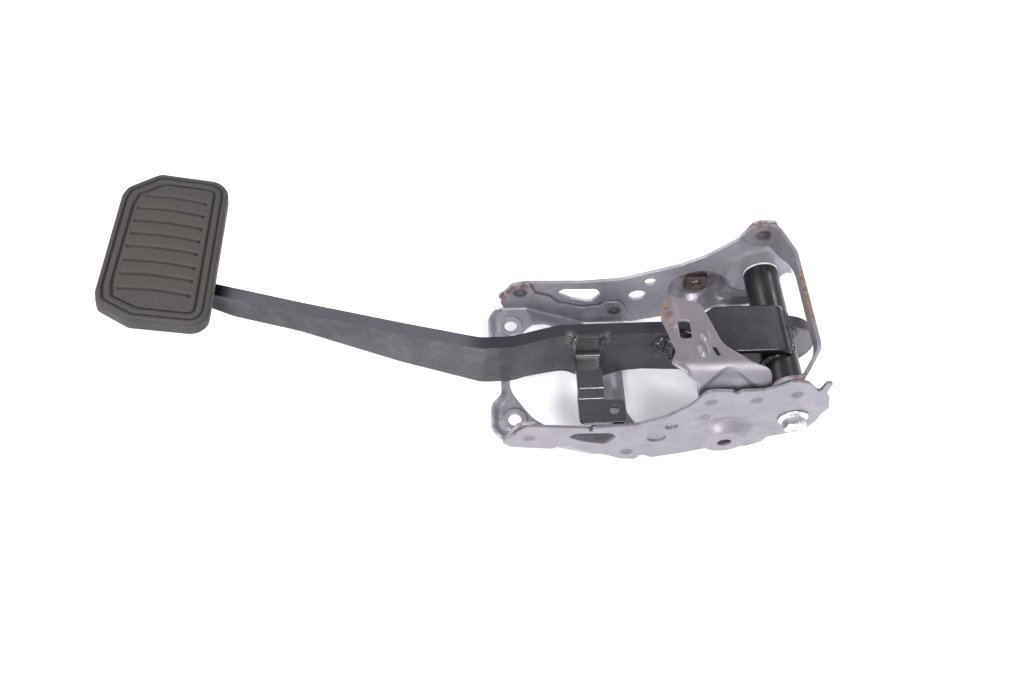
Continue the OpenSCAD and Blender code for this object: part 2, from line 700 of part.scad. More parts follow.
module side_strip() {
    color([0.14, 0.14, 0.15])
    difference() {
        intersection() {
            slice(strip_x0 - 5, strip_x0 + lug_w + 5) polygon(ribbon(strip_line, -strip_t));
            linear_extrude(arm_top + 20)
                polygon(rounded([
                    [strip_x0, arm_near_y + 1, 0], [strip_x0, strip_end_y, 4], [strip_x0 + lug_w, strip_end_y, 2],
                    [strip_x0 + lug_w, lug_y, 2], [strip_x0 + strip_w, lug_y, 1.5],
                    [strip_x0 + strip_w, arm_near_y + 1, 0]
                ]));
        }
        translate([strip_x0 + lug_w - 6.5, strip_end_y + 8, lug_z - 20]) cylinder(d = lug_hole_d, h = 40);
    }
}

// The pad's outline, drawn in by m all round
function pad_outline(m) =
    let (a = pad_w / 2 - m, b = pad_l / 2 - m, k = 0.41 * m)
    rounded([
        [a, -b, 11 - m / 2], [a, b, 11 - m / 2], [-a + 20 - k, b, 8], [-a + 3, b - 14 + k, 7],
        [-a + 0.8, b - 20, 8], [-a - 0.8, -b + 20, 5], [-a + 1.5, -b + 11 - k, 5], [-a + 22 - k, -b, 8]
    ]);

// Stands a pad outline up between two heights, in the pad's own frame
module pad_slab(m, w0, w1) translate([0, 0, w0]) linear_extrude(w1 - w0) polygon(pad_outline(m));

module on_pad() translate([pad_x, pad_y, pad_z]) rotate([0, pad_tilt, 0]) children();

module pad_plate() color([0.3, 0.3, 0.31]) on_pad() pad_slab(3.6, plate_under, plate_top);

module pad_rubber() {
    panel_m = 8.5;
    color([0.28, 0.26, 0.25])
    on_pad()
        difference() {
            union() {
                pad_slab(0, -pad_h, -1.2);
                pad_slab(0.8, -1.3, -0.5);
                pad_slab(1.8, -0.6, 0);
            }
            // The trough between the rim and the ribbed panel
            difference() {
                pad_slab(5, -2, 1);
                pad_slab(panel_m, -3, 2);
            }
            // The pocket that holds the steel plate, and the mouth of the lip round it
            pad_slab(3.3, plate_under, plate_top);
            pad_slab(7.5, -pad_h - 1, plate_top);
            for (k = [0:groove_n - 1])
                translate([-groove_l / 2, (k - (groove_n - 1) / 2) * groove_pitch - 1, -groove_deep])
                    groove();
            pad_slab(panel_m, -0.3, 1);
        }
}

// One groove of the panel, with round ends
module groove() {
    linear_extrude(groove_deep + 1) {
        translate([groove_w / 2, -groove_w / 2]) square([groove_l - groove_w, groove_w]);
        translate([groove_w / 2, 0]) circle(d = groove_w, $fn = 16);
        translate([groove_l - groove_w / 2, 0]) circle(d = groove_w, $fn = 16);
    }
}

// The bead between the arm's near face and the tube
module tube_weld() {
    leg = 3;
    r = tube_r + seat_gap;
    color([0.12, 0.12, 0.12])
    intersection() {
        translate([0, arm_near_y, 0])
            turned_y(pivot_x, pivot_z)
                polygon([[r, 0], [r + leg, 0], [r + leg * 0.75, -leg * 0.45], [r + leg * 0.4, -leg * 0.8], [r, -leg]]);
        translate([pivot_x + 5, -20, pivot_z - 40]) cube([60, 40, 80]);
    }
}

// A straight weld bead along Z in the corner x = 0, y = 0, on the side of +X and -Y
module bead_up(leg, h) {
    linear_extrude(h) polygon([[0, 0], [leg, 0], [leg * 0.8, -leg * 0.5], [leg * 0.5, -leg * 0.8], [0, -leg]]);
}

module box_welds() {
    color([0.12, 0.12, 0.12]) {
        translate([pivot_x - box_reach, arm_near_y, box_top - box_h]) mirror([1, 0, 0])
            bead_up(5, arm_top + box_h - box_top - 1);
        translate([pivot_x - box_reach, arm_far_y, box_top - box_h]) mirror([0, 1, 0]) mirror([1, 0, 0])
            bead_up(5, arm_top + box_h - box_top - 1);
    }
}

module strip_welds() {
    color([0.12, 0.12, 0.12]) {
        translate([strip_x0, arm_near_y, strip_z + 1]) mirror([1, 0, 0]) bead_up(strip_t, arm_top - strip_z - 3);
        translate([strip_x0 + strip_w, arm_near_y, strip_z + 1]) bead_up(strip_t, arm_top - strip_z - 3);
    }
}

// The two beads that join the arm's end to the plate in the pad; the arm stands upright, so it slants in the pad
module pad_welds() {
    leg = 3.5;
    bead_l = 34;
    side = arm_t / 2 + 0.4;
    turn = atan(arm_slope * cos(pad_tilt));
    mid_y = -pad_side + arm_slope * (plate_under - leg / 2) * sin(pad_tilt);
    color([0.12, 0.12, 0.12])
    on_pad()
        for (k = [0, 1])
            translate([0, mid_y, plate_under]) mirror([0, k, 0]) rotate([0, 0, k == 0 ? turn : -turn])
                translate([1 - bead_l / 2, side, 0]) rotate([90, 0, 90])
                    linear_extrude(bead_l) polygon([[0, 0], [leg, 0], [leg * 0.5, -leg * 0.8], [0, -leg]]);
}

base_plate();
near_side_plate();
far_side_plate();
end_strap();
switch_bracket();
near_weld_nut();
far_weld_nut();
pivot_bolt();
pivot_nut();
pivot_sleeve();
pedal_arm();
pivot_tube();
near_bush();
far_bush();
arm_box();
side_strip();
pad_plate();
pad_rubber();
tube_weld();
box_welds();
strip_welds();
pad_welds();
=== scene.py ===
"""Looks of the brake pedal: its bracket, the pedal that swings in it, and a pale studio floor."""

import json
import math

import bpy
import numpy as np
from mathutils import Matrix, Vector, noise
from mathutils.geometry import delaunay_2d_cdt

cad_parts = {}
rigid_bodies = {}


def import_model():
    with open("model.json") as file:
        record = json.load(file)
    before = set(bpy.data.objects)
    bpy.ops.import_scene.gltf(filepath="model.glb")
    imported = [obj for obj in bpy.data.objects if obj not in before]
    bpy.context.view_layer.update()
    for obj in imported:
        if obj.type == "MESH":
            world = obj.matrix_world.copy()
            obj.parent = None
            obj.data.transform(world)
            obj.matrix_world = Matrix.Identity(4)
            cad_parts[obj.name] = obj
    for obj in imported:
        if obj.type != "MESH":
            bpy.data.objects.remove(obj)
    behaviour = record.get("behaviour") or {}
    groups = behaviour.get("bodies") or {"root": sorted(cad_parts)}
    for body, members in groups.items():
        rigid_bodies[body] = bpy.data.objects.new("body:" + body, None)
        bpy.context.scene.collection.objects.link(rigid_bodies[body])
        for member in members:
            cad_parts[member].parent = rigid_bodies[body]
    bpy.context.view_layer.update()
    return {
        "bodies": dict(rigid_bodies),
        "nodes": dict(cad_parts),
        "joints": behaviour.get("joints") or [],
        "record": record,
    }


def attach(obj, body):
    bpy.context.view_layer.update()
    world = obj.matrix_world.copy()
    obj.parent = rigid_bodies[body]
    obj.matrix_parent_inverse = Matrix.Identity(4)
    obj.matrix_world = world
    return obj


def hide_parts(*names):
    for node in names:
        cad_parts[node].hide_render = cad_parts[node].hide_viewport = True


bl_info = {
    "name": "Brake pedal looks",
    "version": (1, 0, 0),
    "blender": (4, 5, 0),
    "location": "View3D > Sidebar > Pedal",
    "description": "Builds the visible pieces and finishes of a car's brake pedal and its bracket",
    "category": "Object",
}

MM = 0.001
# Places and sizes of the part, in millimetres in the shared frame
IN_Y = 52.0
SHEET = 2.2
OUT_Y = IN_Y + SHEET
BOSS = (126.0, 15.0)
PIVOT = (164.0, 34.0)
TUBE_R = 11.0
ARM_NEAR_Y = -0.25
ARM_FAR_Y = 7.75
PAD_MIDDLE = (-206.5, 50.5, 83.0)
PAD_L = 109.0
PAD_W = 62.5
PAD_TILT = math.radians(15)

FRAME = {}


class PedalLooks(bpy.types.PropertyGroup):
    """Sizes and colours of the brake pedal's looks."""

    steel: bpy.props.FloatVectorProperty(
        name="Bracket steel", description="Colour of the bracket's grey coat", subtype="COLOR", size=3,
        min=0.0, max=1.0, default=(0.27, 0.257, 0.285))
    paint: bpy.props.FloatVectorProperty(
        name="Arm paint", description="Colour of the pedal arm's black paint", subtype="COLOR", size=3,
        min=0.0, max=1.0, default=(0.05, 0.047, 0.054))
    zinc: bpy.props.FloatVectorProperty(
        name="Zinc", description="Colour of the bolt's bright zinc", subtype="COLOR", size=3,
        min=0.0, max=1.0, default=(0.72, 0.74, 0.75))
    rubber: bpy.props.FloatVectorProperty(
        name="Rubber", description="Colour of the dusty pad rubber", subtype="COLOR", size=3,
        min=0.0, max=1.0, default=(0.038, 0.0332, 0.031))
    rust: bpy.props.FloatVectorProperty(
        name="Rust", description="Colour of the rust at the bracket's edges", subtype="COLOR", size=3,
        min=0.0, max=1.0, default=(0.165, 0.082, 0.05))
    plastic: bpy.props.FloatVectorProperty(
        name="Bush plastic", description="Colour of the bushes' plastic", subtype="COLOR", size=3,
        min=0.0, max=1.0, default=(0.72, 0.71, 0.67))
    edge_round: bpy.props.FloatProperty(
        name="Edge rounding", description="Radius of the small round on the sheet's cut edges", subtype="DISTANCE",
        unit="LENGTH", min=0.0001, max=0.001, default=0.00035)
    boss_height: bpy.props.FloatProperty(
        name="Boss height", description="How far the weld bosses stand out of the side plates", subtype="DISTANCE",
        unit="LENGTH", min=0.004, max=0.009, default=0.0074)
    groove_depth: bpy.props.FloatProperty(
        name="Groove depth", description="Depth of the pad's grooves", subtype="DISTANCE", unit="LENGTH",
        min=0.0005, max=0.002, default=0.0015)


def looks():
    return bpy.context.scene.pedal_looks


class Shade:
    """One material's nodes, built by calls that return sockets."""

    def __init__(self, name):
        self.mat = bpy.data.materials.get(name) or bpy.data.materials.new(name)
        self.mat.use_nodes = True
        self.tree = self.mat.node_tree
        self.tree.nodes.clear()
        coordinates = self.node("ShaderNodeTexCoord")
        self.at = coordinates.outputs["Object"]
        turned = self.node("ShaderNodeSeparateXYZ")
        self.tree.links.new(coordinates.outputs["Normal"], turned.inputs[0])
        self.faces = dict(zip("xyz", turned.outputs))

    def node(self, kind, **settings):
        made = self.tree.nodes.new(kind)
        for key, value in settings.items():
            setattr(made, key, value)
        return made

    def put(self, socket, value):
        if isinstance(value, bpy.types.NodeSocket):
            self.tree.links.new(value, socket)
        elif socket.type == "RGBA":
            socket.default_value = (*tuple(value)[:3], 1.0)
        else:
            socket.default_value = value

    def stretched(self, scale, turn=(0, 0, 0)):
        made = self.node("ShaderNodeMapping")
        self.put(made.inputs["Vector"], self.at)
        made.inputs["Scale"].default_value = scale
        made.inputs["Rotation"].default_value = turn
        return made.outputs[0]

    def noise(self, scale, detail=4.0, rough=0.55, vector=None):
        made = self.node("ShaderNodeTexNoise")
        self.put(made.inputs["Vector"], vector or self.at)
        made.inputs["Scale"].default_value = scale
        made.inputs["Detail"].default_value = detail
        made.inputs["Roughness"].default_value = rough
        return made.outputs["Fac"]

    def ramp(self, value, low, high, to_low=0.0, to_high=1.0):
        made = self.node("ShaderNodeMapRange", interpolation_type="SMOOTHSTEP")
        self.put(made.inputs["Value"], value)
        for key, number in (("From Min", low), ("From Max", high), ("To Min", to_low), ("To Max", to_high)):
            made.inputs[key].default_value = number
        return made.outputs[0]

    def math(self, operation, a, b=0.0):
        made = self.node("ShaderNodeMath", operation=operation)
        self.put(made.inputs[0], a)
        self.put(made.inputs[1], b)
        return made.outputs[0]

    def mix(self, factor, a, b):
        made = self.node("ShaderNodeMix", data_type="RGBA")
        self.put(made.inputs[0], factor)
        self.put(made.inputs[6], a)
        self.put(made.inputs[7], b)
        return made.outputs[2]

    def near(self, place, radius, ragged):
        """1 at a place in millimetres, 0 past a radius, with a ragged border."""
        away = self.node("ShaderNodeVectorMath", operation="DISTANCE")
        self.put(away.inputs[0], self.at)
        away.inputs[1].default_value = [c * MM for c in place]
        torn = self.math("ADD", away.outputs["Value"], self.math("MULTIPLY", ragged, radius * MM))
        return self.ramp(torn, radius * MM * 1.45, radius * MM * 0.75)

    def rings(self, spots, ragged):
        """Round stains: a full disc with a paler ring inside, at places in millimetres."""
        total = 0.0
        for place, radius, strength in spots:
            disc = self.near(place, radius, self.math("MULTIPLY", ragged, 0.25))
            core = self.near(place, radius * 0.5, ragged)
            ring = self.ramp(core, 0.0, 1.0, 0.9 * strength, 0.62 * strength)
            total = self.math("MAXIMUM", total, self.math("MULTIPLY", disc, ring))
        return total

    def bump(self, height, strength, distance, under=None):
        made = self.node("ShaderNodeBump")
        made.inputs["Strength"].default_value = strength
        made.inputs["Distance"].default_value = distance
        self.put(made.inputs["Height"], height)
        if under:
            self.put(made.inputs["Normal"], under)
        return made.outputs[0]

    def finish(self, color, roughness, metallic=0.0, normal=None, **more):
        shader = self.node("ShaderNodeBsdfPrincipled")
        self.put(shader.inputs["Base Color"], color)
        self.put(shader.inputs["Roughness"], roughness)
        self.put(shader.inputs["Metallic"], metallic)
        if normal:
            self.put(shader.inputs["Normal"], normal)
        for key, value in more.items():
            self.put(shader.inputs[key.replace("_", " ")], value)
        out = self.node("ShaderNodeOutputMaterial")
        self.tree.links.new(shader.outputs[0], out.inputs["Surface"])
        return self.mat


def times(color, factor):
    return [min(1.0, c * factor) for c in color]


# Where rust shows on the bracket, as (place in millimetres, radius)
RUST_SPOTS = [
    ((-7.6, 51.0, 7.0), 2.6), ((-5.0, 51.0, 15.0), 3.0), ((-1.0, 51.0, 22.0), 2.8), ((2.5, 51.0, 25.5), 2.4),
    ((9.5, 50.0, 27.0), 3.0), ((14.0, 50.0, 26.5), 1.8), ((148.0, 51.0, 81.0), 2.8), ((152.0, 51.0, 83.5), 2.6),
    ((157.0, 51.0, 84.3), 2.0), ((90.0, 1.5, 71.0), 3.2), ((90.5, -3.5, 71.0), 3.4), ((92.3, -10.5, 71.0), 1.8),
    *(((171.0, y, 81.3), 2.0) for y in range(16, -17, -4)), ((155.0, -51.0, 76.0), 2.2), ((160.5, -51.0, 75.5), 2.4), ((166.0, -51.0, 72.0), 2.0),
    ((-1.5, -54.0, 21.7), 1.8), ((3.0, -51.0, 27.6), 2.2), ((117.5, 57.0, 20.0), 4.2), ((128.0, 57.0, 25.0), 3.6),
    ((136.5, 57.0, 18.0), 3.4), ((131.0, 57.0, 6.0), 3.2),
]
# Stains of the spot welds, as (place in millimetres, radius, strength)
WELD_SPOTS = [
    ((8.0, -54.2, 15.0), 3.3, 0.55), ((70.0, -54.2, -10.0), 3.6, 0.7), ((112.0, -54.2, 54.0), 3.0, 0.6),
    ((138.0, -54.2, 55.0), 3.2, 0.65), ((160.0, -54.2, 60.0), 3.2, 0.65), ((112.0, -54.2, 36.0), 2.6, 0.4),
    ((156.5, 49.8, 73.5), 4.3, 1.0), ((7.0, 49.8, 19.6), 4.3, 1.0), ((72.0, 49.8, -5.6), 4.3, 1.0),
]


def steel_material(name, tone=1.0, rust=0.0, marks=True, gloss=0.44, painted_top_shade=0.8):
    """The bracket's grey coat: mottled, stained, marked by the spot welds and rusty at some edges, with painted shade
    on faces that look up and in its creases.
    """
    s = Shade(name)
    base = times(looks().steel, tone)
    cloud = s.noise(38.0, 5.0, 0.6)
    grain = s.noise(900.0, 3.0, 0.6)
    smear = s.noise(6.0, 4.0, 0.6, s.stretched((3.0, 22.0, 22.0), (0.2, 0.4, 0.9)))
    color = s.mix(s.ramp(cloud, 0.3, 0.72), times(base, 0.84), times(base, 1.12))
    color = s.mix(s.ramp(grain, 0.35, 0.7, 0.0, 0.3), color, times(base, 0.66))
    color = s.mix(s.ramp(smear, 0.56, 0.7, 0.0, 0.3), color, times(base, 1.45))
    # Painted shade: faces that look up are mixed towards a darker copy of the coat.
    flat = (base[0] * 0.6, base[1] * 0.57, base[2] * 0.54)
    color = s.mix(s.ramp(s.faces["z"], 0.7, 0.97, 0.0, painted_top_shade), color, flat)
    scratch = s.noise(1.0, 2.0, 0.4, s.stretched((60.0, 1500.0, 1500.0), (0.3, 0.1, 0.7)))
    scratch = s.math("MULTIPLY", s.ramp(scratch, 0.7, 0.75), s.ramp(cloud, 0.52, 0.62, 0.0, 0.4))
    color = s.mix(scratch, color, times(base, 1.7))
    stain = s.math("MULTIPLY", s.ramp(s.noise(17.0, 7.0, 0.72), 0.52, 0.68), s.ramp(s.noise(85.0, 4.0), 0.35, 0.6, 0.3, 1.0))
    color = s.mix(s.math("MULTIPLY", stain, 0.34), color, (0.085, 0.078, 0.075))
    color = s.mix(s.ramp(s.noise(24.0, 6.0, 0.68), 0.54, 0.72, 0.0, 0.3), color, (0.25, 0.205, 0.15))
    # Dirt and painted shade: creases that ambient occlusion finds are darkened in patches.
    ao = s.node("ShaderNodeAmbientOcclusion", samples=4)
    ao.inputs["Distance"].default_value = 0.006
    crease_dirt_and_shade = s.math("MULTIPLY", s.ramp(ao.outputs["AO"], 0.72, 0.3), s.ramp(s.noise(120.0), 0.3, 0.55))
    color = s.mix(s.math("MULTIPLY", crease_dirt_and_shade, 0.8), color, (0.045, 0.038, 0.036))
    ragged = s.ramp(s.noise(300.0, 6.0, 0.7), 0.3, 0.7, -0.3, 0.35)
    patch = 0.0
    if marks:
        for place, radius in RUST_SPOTS:
            patch = s.math("MAXIMUM", patch, s.near(place, radius, ragged))
        patch = s.math("MULTIPLY", patch, s.ramp(s.noise(240.0, 5.0, 0.6), 0.34, 0.5, 0.45, 1.0))
        color = s.mix(s.rings(WELD_SPOTS, ragged), color, (0.055, 0.05, 0.05))
    if rust > 0.0:
        patch = s.math("MAXIMUM", patch, s.ramp(s.noise(260.0, 5.0, 0.7), 0.62 - 0.3 * rust, 0.74 - 0.3 * rust))
    shade = s.mix(s.ramp(s.noise(230.0, 5.0), 0.38, 0.6), times(looks().rust, 0.4), times(looks().rust, 1.2))
    color = s.mix(s.math("MULTIPLY", patch, 0.8), color, shade)
    rough = s.ramp(cloud, 0.3, 0.7, gloss - 0.07, gloss + 0.07)
    rough = s.math("ADD", rough, s.math("MULTIPLY", patch, 0.4))
    metal = s.ramp(patch, 0.0, 0.6, 0.5, 0.0)
    wavy = s.bump(s.noise(55.0, 2.0), 0.2, 0.0012)
    normal = s.bump(s.math("ADD", grain, s.math("MULTIPLY", patch, 1.6)), 0.1, 0.0002, wavy)
    return s.finish(color, rough, metal, normal)


def paint_material(name, tone=1.0, gloss=0.4, dust=0.3, walls=1.0, painted_top_shade=1.0, wall_gloss=None, coat=0.25, marks=(),
                   bare=None, shine=0.5, fade=0.0, flat=(0.45, 0.75), bend=0.0):
    """Black paint of the pedal's steel, with dust, chips and scratches; painted shade may darken walls and faces that
    look up.
    """
    s = Shade(name)
    base = times(looks().paint, tone)
    cloud = s.noise(30.0, 5.0, 0.6)
    grain = s.noise(1100.0, 3.0, 0.6)
    broad = s.noise(11.0, 3.0, 0.5)
    color = s.mix(s.ramp(cloud, 0.3, 0.7), times(base, 0.8), times(base, 1.2))
    color = s.mix(s.ramp(broad, 0.38, 0.62, 0.45, 0.0), color, times(base, 0.5))
    # A near black, for the painted shade on walls and top faces and for the pad end of the top faces.
    black = (0.004, 0.004, 0.006)
    cut = None
    # With fade the top faces get a colour of their own along x: black at the pad end, paler in the middle, nearly black
    # past x = -0.016 m; the sides grow darker towards the pad end.
    if fade:
        place = s.node("ShaderNodeSeparateXYZ")
        s.put(place.inputs[0], s.at)
        cut = s.mix(s.ramp(place.outputs[0], -0.034, -0.016, 0.0, 0.75), s.mix(0.5, color, times(base, 3.2)), black)
        cut = s.mix(s.ramp(place.outputs[0], -0.178, -0.168, 1.0, 0.0), cut, black)
        color = s.mix(s.ramp(place.outputs[0], -0.16, -0.04, fade, 0.0), color, times(base, 0.25))
        shine = s.ramp(place.outputs[0], -0.182, -0.16, 0.05, shine)
    powder = s.math("MULTIPLY", s.ramp(s.noise(75.0, 6.0, 0.7), 0.42, 0.7), dust)
    color = s.mix(powder, color, times(base, 2.4))
    # Painted shade: by the way each face looks, walls and top faces are mixed towards black.
    top = s.ramp(s.faces["z"], *flat)
    color = s.mix(top, s.mix(1.0 - walls, color, black), s.mix(1.0 - painted_top_shade, cut or color, black))
    scratch = s.noise(1.0, 2.0, 0.4, s.stretched((45.0, 1300.0, 1300.0), (0.5, 0.2, 0.25)))
    scratch = s.math("MULTIPLY", s.ramp(scratch, 0.7, 0.745), s.ramp(cloud, 0.48, 0.6, 0.0, 0.5))
    color = s.mix(scratch, color, times(base, 3.2))
    chips = s.math("MULTIPLY", s.ramp(s.noise(420.0, 2.0), 0.745, 0.77), 0.8)
    color = s.mix(chips, color, (0.24, 0.22, 0.21))
    scaly = s.noise(340.0, 5.0, 0.75)
    patch = 0.0
    for place, radius in marks:
        patch = s.math("MAXIMUM", patch, s.near(place, radius, s.ramp(scaly, 0.3, 0.7, -0.5, 0.8)))
    color = s.mix(patch, color, s.mix(s.ramp(scaly, 0.4, 0.6), (0.03, 0.028, 0.027), (0.15, 0.142, 0.13)))
    if bare:
        side = s.ramp(s.math("ABSOLUTE", s.faces["y"]), 0.7, 0.9)
        side = s.math("MULTIPLY", s.near(*bare, s.ramp(scaly, 0.3, 0.7, -0.1, 0.1)), side)
        color = s.mix(side, color, s.mix(s.ramp(cloud, 0.3, 0.7), (0.155, 0.15, 0.158), (0.22, 0.214, 0.226)))
    rough = s.ramp(s.noise(60.0, 4.0), 0.3, 0.7, gloss - 0.06, gloss + 0.1)
    if wall_gloss:
        rough = s.math("ADD", s.math("MULTIPLY", rough, top), s.ramp(top, 0.0, 1.0, wall_gloss, 0.0))
    if bend:
        edge = s.math("MULTIPLY", s.ramp(s.faces["z"], 0.2, 0.4), s.ramp(s.faces["z"], 0.86, 0.95, 1.0, 0.0))
        coat = s.math("ADD", s.math("MULTIPLY", edge, bend), coat)
    wavy = s.bump(s.noise(42.0, 2.0), 0.2, 0.0012)
    relief = s.math("SUBTRACT", grain, s.math("MULTIPLY", chips, 1.2))
    relief = s.math("ADD", relief, s.math("MULTIPLY", patch, s.math("MULTIPLY", scaly, 3.0)))
    return s.finish(color, rough, 0.0, s.bump(relief, 0.14, 0.0002, wavy), Coat_Weight=coat, Coat_Roughness=gloss * 0.6,
                    Specular_IOR_Level=shine)


def arm_material(name):
    """The arm's satin paint: painted shade on its top faces, darker towards the pad end, grey smut beside the strip's
    welds, a paler bare lobe.
    """
    marks = [((35.4, -0.25, 44.0), 3.4), ((34.8, -0.25, 38.5), 4.0), ((36.8, -0.25, 33.0), 3.0),
             ((57.6, -0.25, 43.0), 3.2), ((58.0, -0.25, 37.5), 3.4), ((88.0, -0.25, 27.0), 2.4)]
    return paint_material(name, painted_top_shade=0.7, marks=marks, bare=((181.0, 0.0, 27.0), 14.0), coat=0.0, shine=0.3, fade=0.75)


def weld_material(name):
    """Glossy black painted weld metal, with a scaly skin and bright specks that are partly spatter and partly painted
    glints.
    """
    s = Shade(name)
    # Bright specks: partly weld spatter, partly painted glints.
    spatter_and_glint = s.ramp(s.noise(520.0, 2.0), 0.66, 0.72)
    skin = s.noise(340.0, 5.0, 0.7)
    color = s.mix(s.ramp(skin, 0.3, 0.75), (0.006, 0.006, 0.008), (0.05, 0.048, 0.055))
    color = s.mix(s.math("MULTIPLY", spatter_and_glint, 0.35), color, (0.5, 0.5, 0.52))
    normal = s.bump(skin, 0.55, 0.0006)
    return s.finish(color, s.ramp(skin, 0.3, 0.7, 0.12, 0.34), 0.0, normal, Coat_Weight=0.5, Coat_Roughness=0.15)


def zinc_material(name, tone=1.0):
    """Bright zinc plating, slightly cloudy."""
    s = Shade(name)
    base = times(looks().zinc, tone)
    cloud = s.noise(160.0, 5.0, 0.65)
    color = s.mix(s.ramp(cloud, 0.35, 0.7), times(base, 0.7), base)
    color = s.mix(s.ramp(s.noise(420.0, 4.0), 0.62, 0.72, 0.0, 0.5), color, (0.3, 0.27, 0.23))
    rough = s.ramp(cloud, 0.3, 0.7, 0.2, 0.36)
    return s.finish(color, rough, 0.95, s.bump(s.noise(800.0, 3.0), 0.08, 0.0002))


def plastic_material(name):
    """Off-white plastic of the bushes, with grime."""
    s = Shade(name)
    grime = s.ramp(s.noise(130.0, 5.0, 0.7), 0.52, 0.7, 0.0, 0.6)
    color = s.mix(grime, looks().plastic, (0.3, 0.28, 0.25))
    return s.finish(color, 0.45, 0.0, s.bump(s.noise(600.0), 0.08, 0.0002), Subsurface_Weight=0.05)


def rubber_material(name):
    """Dusty pad rubber, greyer at its rim and worn brownish on the panel, with painted shade in its grooves and on its
    side walls.
    """
    s = Shade(name)
    base = looks().rubber[:]
    cloud = s.noise(34.0, 5.0, 0.65)
    grain = s.noise(1300.0, 4.0, 0.7)
    color = s.mix(s.ramp(cloud, 0.3, 0.7), times(base, 0.84), times(base, 1.16))
    brown = s.near((-206.0, 48.0, 88.0), 36.0, s.ramp(cloud, 0.3, 0.7, -0.3, 0.3))
    color = s.mix(s.math("MULTIPLY", brown, 0.5), color, (base[0] * 1.25, base[1] * 1.02, base[2] * 0.86))
    color = s.mix(s.ramp(grain, 0.45, 0.7, 0.0, 0.35), color, times(base, 1.65))
    streak = s.noise(1.0, 5.0, 0.65, s.stretched((160.0, 22.0, 40.0), (0.0, 0.25, 0.12)))
    color = s.mix(s.ramp(streak, 0.52, 0.72, 0.0, 0.4), color, times(base, 1.7))
    # Painted shade: hollows that ambient occlusion finds, such as the grooves, are darkened.
    ao = s.node("ShaderNodeAmbientOcclusion", samples=6)
    ao.inputs["Distance"].default_value = 0.0028
    color = s.mix(s.ramp(ao.outputs["AO"], 0.9, 0.55, 0.0, 0.75), color, (0.006, 0.005, 0.005))
    # Painted shade: side walls are darker than faces that look up.
    color = s.mix(s.ramp(s.faces["z"], 0.3, 0.8, 0.6, 0.0), color, times(base, 0.35))
    lint = s.ramp(s.noise(950.0, 1.0), 0.79, 0.81, 0.0, 0.7)
    color = s.mix(lint, color, (0.34, 0.31, 0.29))
    normal = s.bump(grain, 0.3, 0.00025, s.bump(s.noise(90.0, 3.0), 0.2, 0.0006))
    return s.finish(color, s.ramp(cloud, 0.3, 0.7, 0.62, 0.8), 0.0, normal, Sheen_Weight=0.05)


def glowing_floor_material(name):
    """Plain pale paper with a hardly visible tooth, made to glow faintly: painted light that fills the shadows."""
    s = Shade(name)
    color = s.mix(s.noise(3.0), (0.9, 0.89, 0.915), (0.92, 0.915, 0.93))
    # Painted light: the floor glows faintly.
    return s.finish(color, 0.75, 0.0, s.bump(s.noise(350.0), 0.02, 0.0004), Emission_Color=(1.0, 0.985, 1.0, 1.0),
                    Emission_Strength=0.2)


MAKERS = {
    "bracket_steel": lambda: steel_material("grey_coat"),
    # A copy of the grey coat 1.3 times paler and with no top shade: painted light for the faces inside the bracket.
    "lit_inner_steel": lambda: steel_material("grey_coat_inner_lit", 1.3, gloss=0.42, painted_top_shade=0.0),
    "nut_steel": lambda: steel_material("rusty_weld_nut", 0.34, 0.62, False, gloss=0.6),
    "bright_zinc": lambda: zinc_material("bright_zinc_plate"),
    "sleeve_steel": lambda: zinc_material("sleeve_steel_skin", 0.75),
    "arm_black": lambda: arm_material("arm_satin_black"),
    "tube_black": lambda: paint_material("tube_gloss_black", 0.2, 0.34, 0.3, coat=0.1, shine=0.4),
    # The box's walls get painted shade: they are mixed nearly to black, while its top keeps the paint's grey.
    "box_black": lambda: paint_material("box_satin_black", 0.82, 0.42, 0.25, walls=0.1, wall_gloss=0.14, coat=0.05,
                                        shine=0.1, flat=(0.9, 0.98), bend=0.95),
    "strip_black": lambda: paint_material("strip_gloss_black", 0.4, 0.17, 0.2, coat=0.8),
    "weld_black": lambda: weld_material("weld_skin"),
    "bush_plastic": lambda: plastic_material("bush_plastic_white"),
    "pad_rubber": lambda: rubber_material("pad_rubber_dusty"),
    "floor": lambda: glowing_floor_material("studio_floor_glowing"),
}
MADE = {}


def material(key):
    if key not in MADE:
        MADE[key] = MAKERS[key]()
    return MADE[key]


def corner_arc(a, b, c, steps=6):
    """The arc that rounds corner b = (x, y, radius) between its neighbours."""
    p = np.array(b[:2], float)
    u = np.array(a[:2], float) - p
    v = np.array(c[:2], float) - p
    room = 0.48 * min(np.linalg.norm(u), np.linalg.norm(v))
    u /= np.linalg.norm(u)
    v /= np.linalg.norm(v)
    half = math.acos(max(-1.0, min(1.0, float(u @ v)))) / 2
    if b[2] == 0 or half > math.radians(89.5):
        return [p]
    reach = min(b[2] / math.tan(half), room)
    r = reach * math.tan(half)
    m = p + (u + v) / np.linalg.norm(u + v) * (r / math.sin(half))
    s = p + u * reach - m
    e = p + v * reach - m
    turn = math.atan2(s[0] * e[1] - s[1] * e[0], float(s @ e))
    start = math.atan2(s[1], s[0])
    return [m + r * np.array((math.cos(start + turn * k / steps), math.sin(start + turn * k / steps)))
            for k in range(steps + 1)]


def rounded(points, steps=6):
    n = len(points)
    return np.array([q for k in range(n) for q in corner_arc(points[k - 1], points[k], points[(k + 1) % n], steps)])


def resampled(loop, step):
    """A closed loop with points at most one step apart."""
    out = []
    for a, b in zip(loop, np.roll(loop, -1, axis=0)):
        n = max(1, int(math.ceil(np.linalg.norm(b - a) / step)))
        out += [a + (b - a) * k / n for k in range(n)]
    out = np.array(out)
    keep = np.linalg.norm(out - np.roll(out, 1, axis=0), axis=1) > 0.02
    return out[keep]


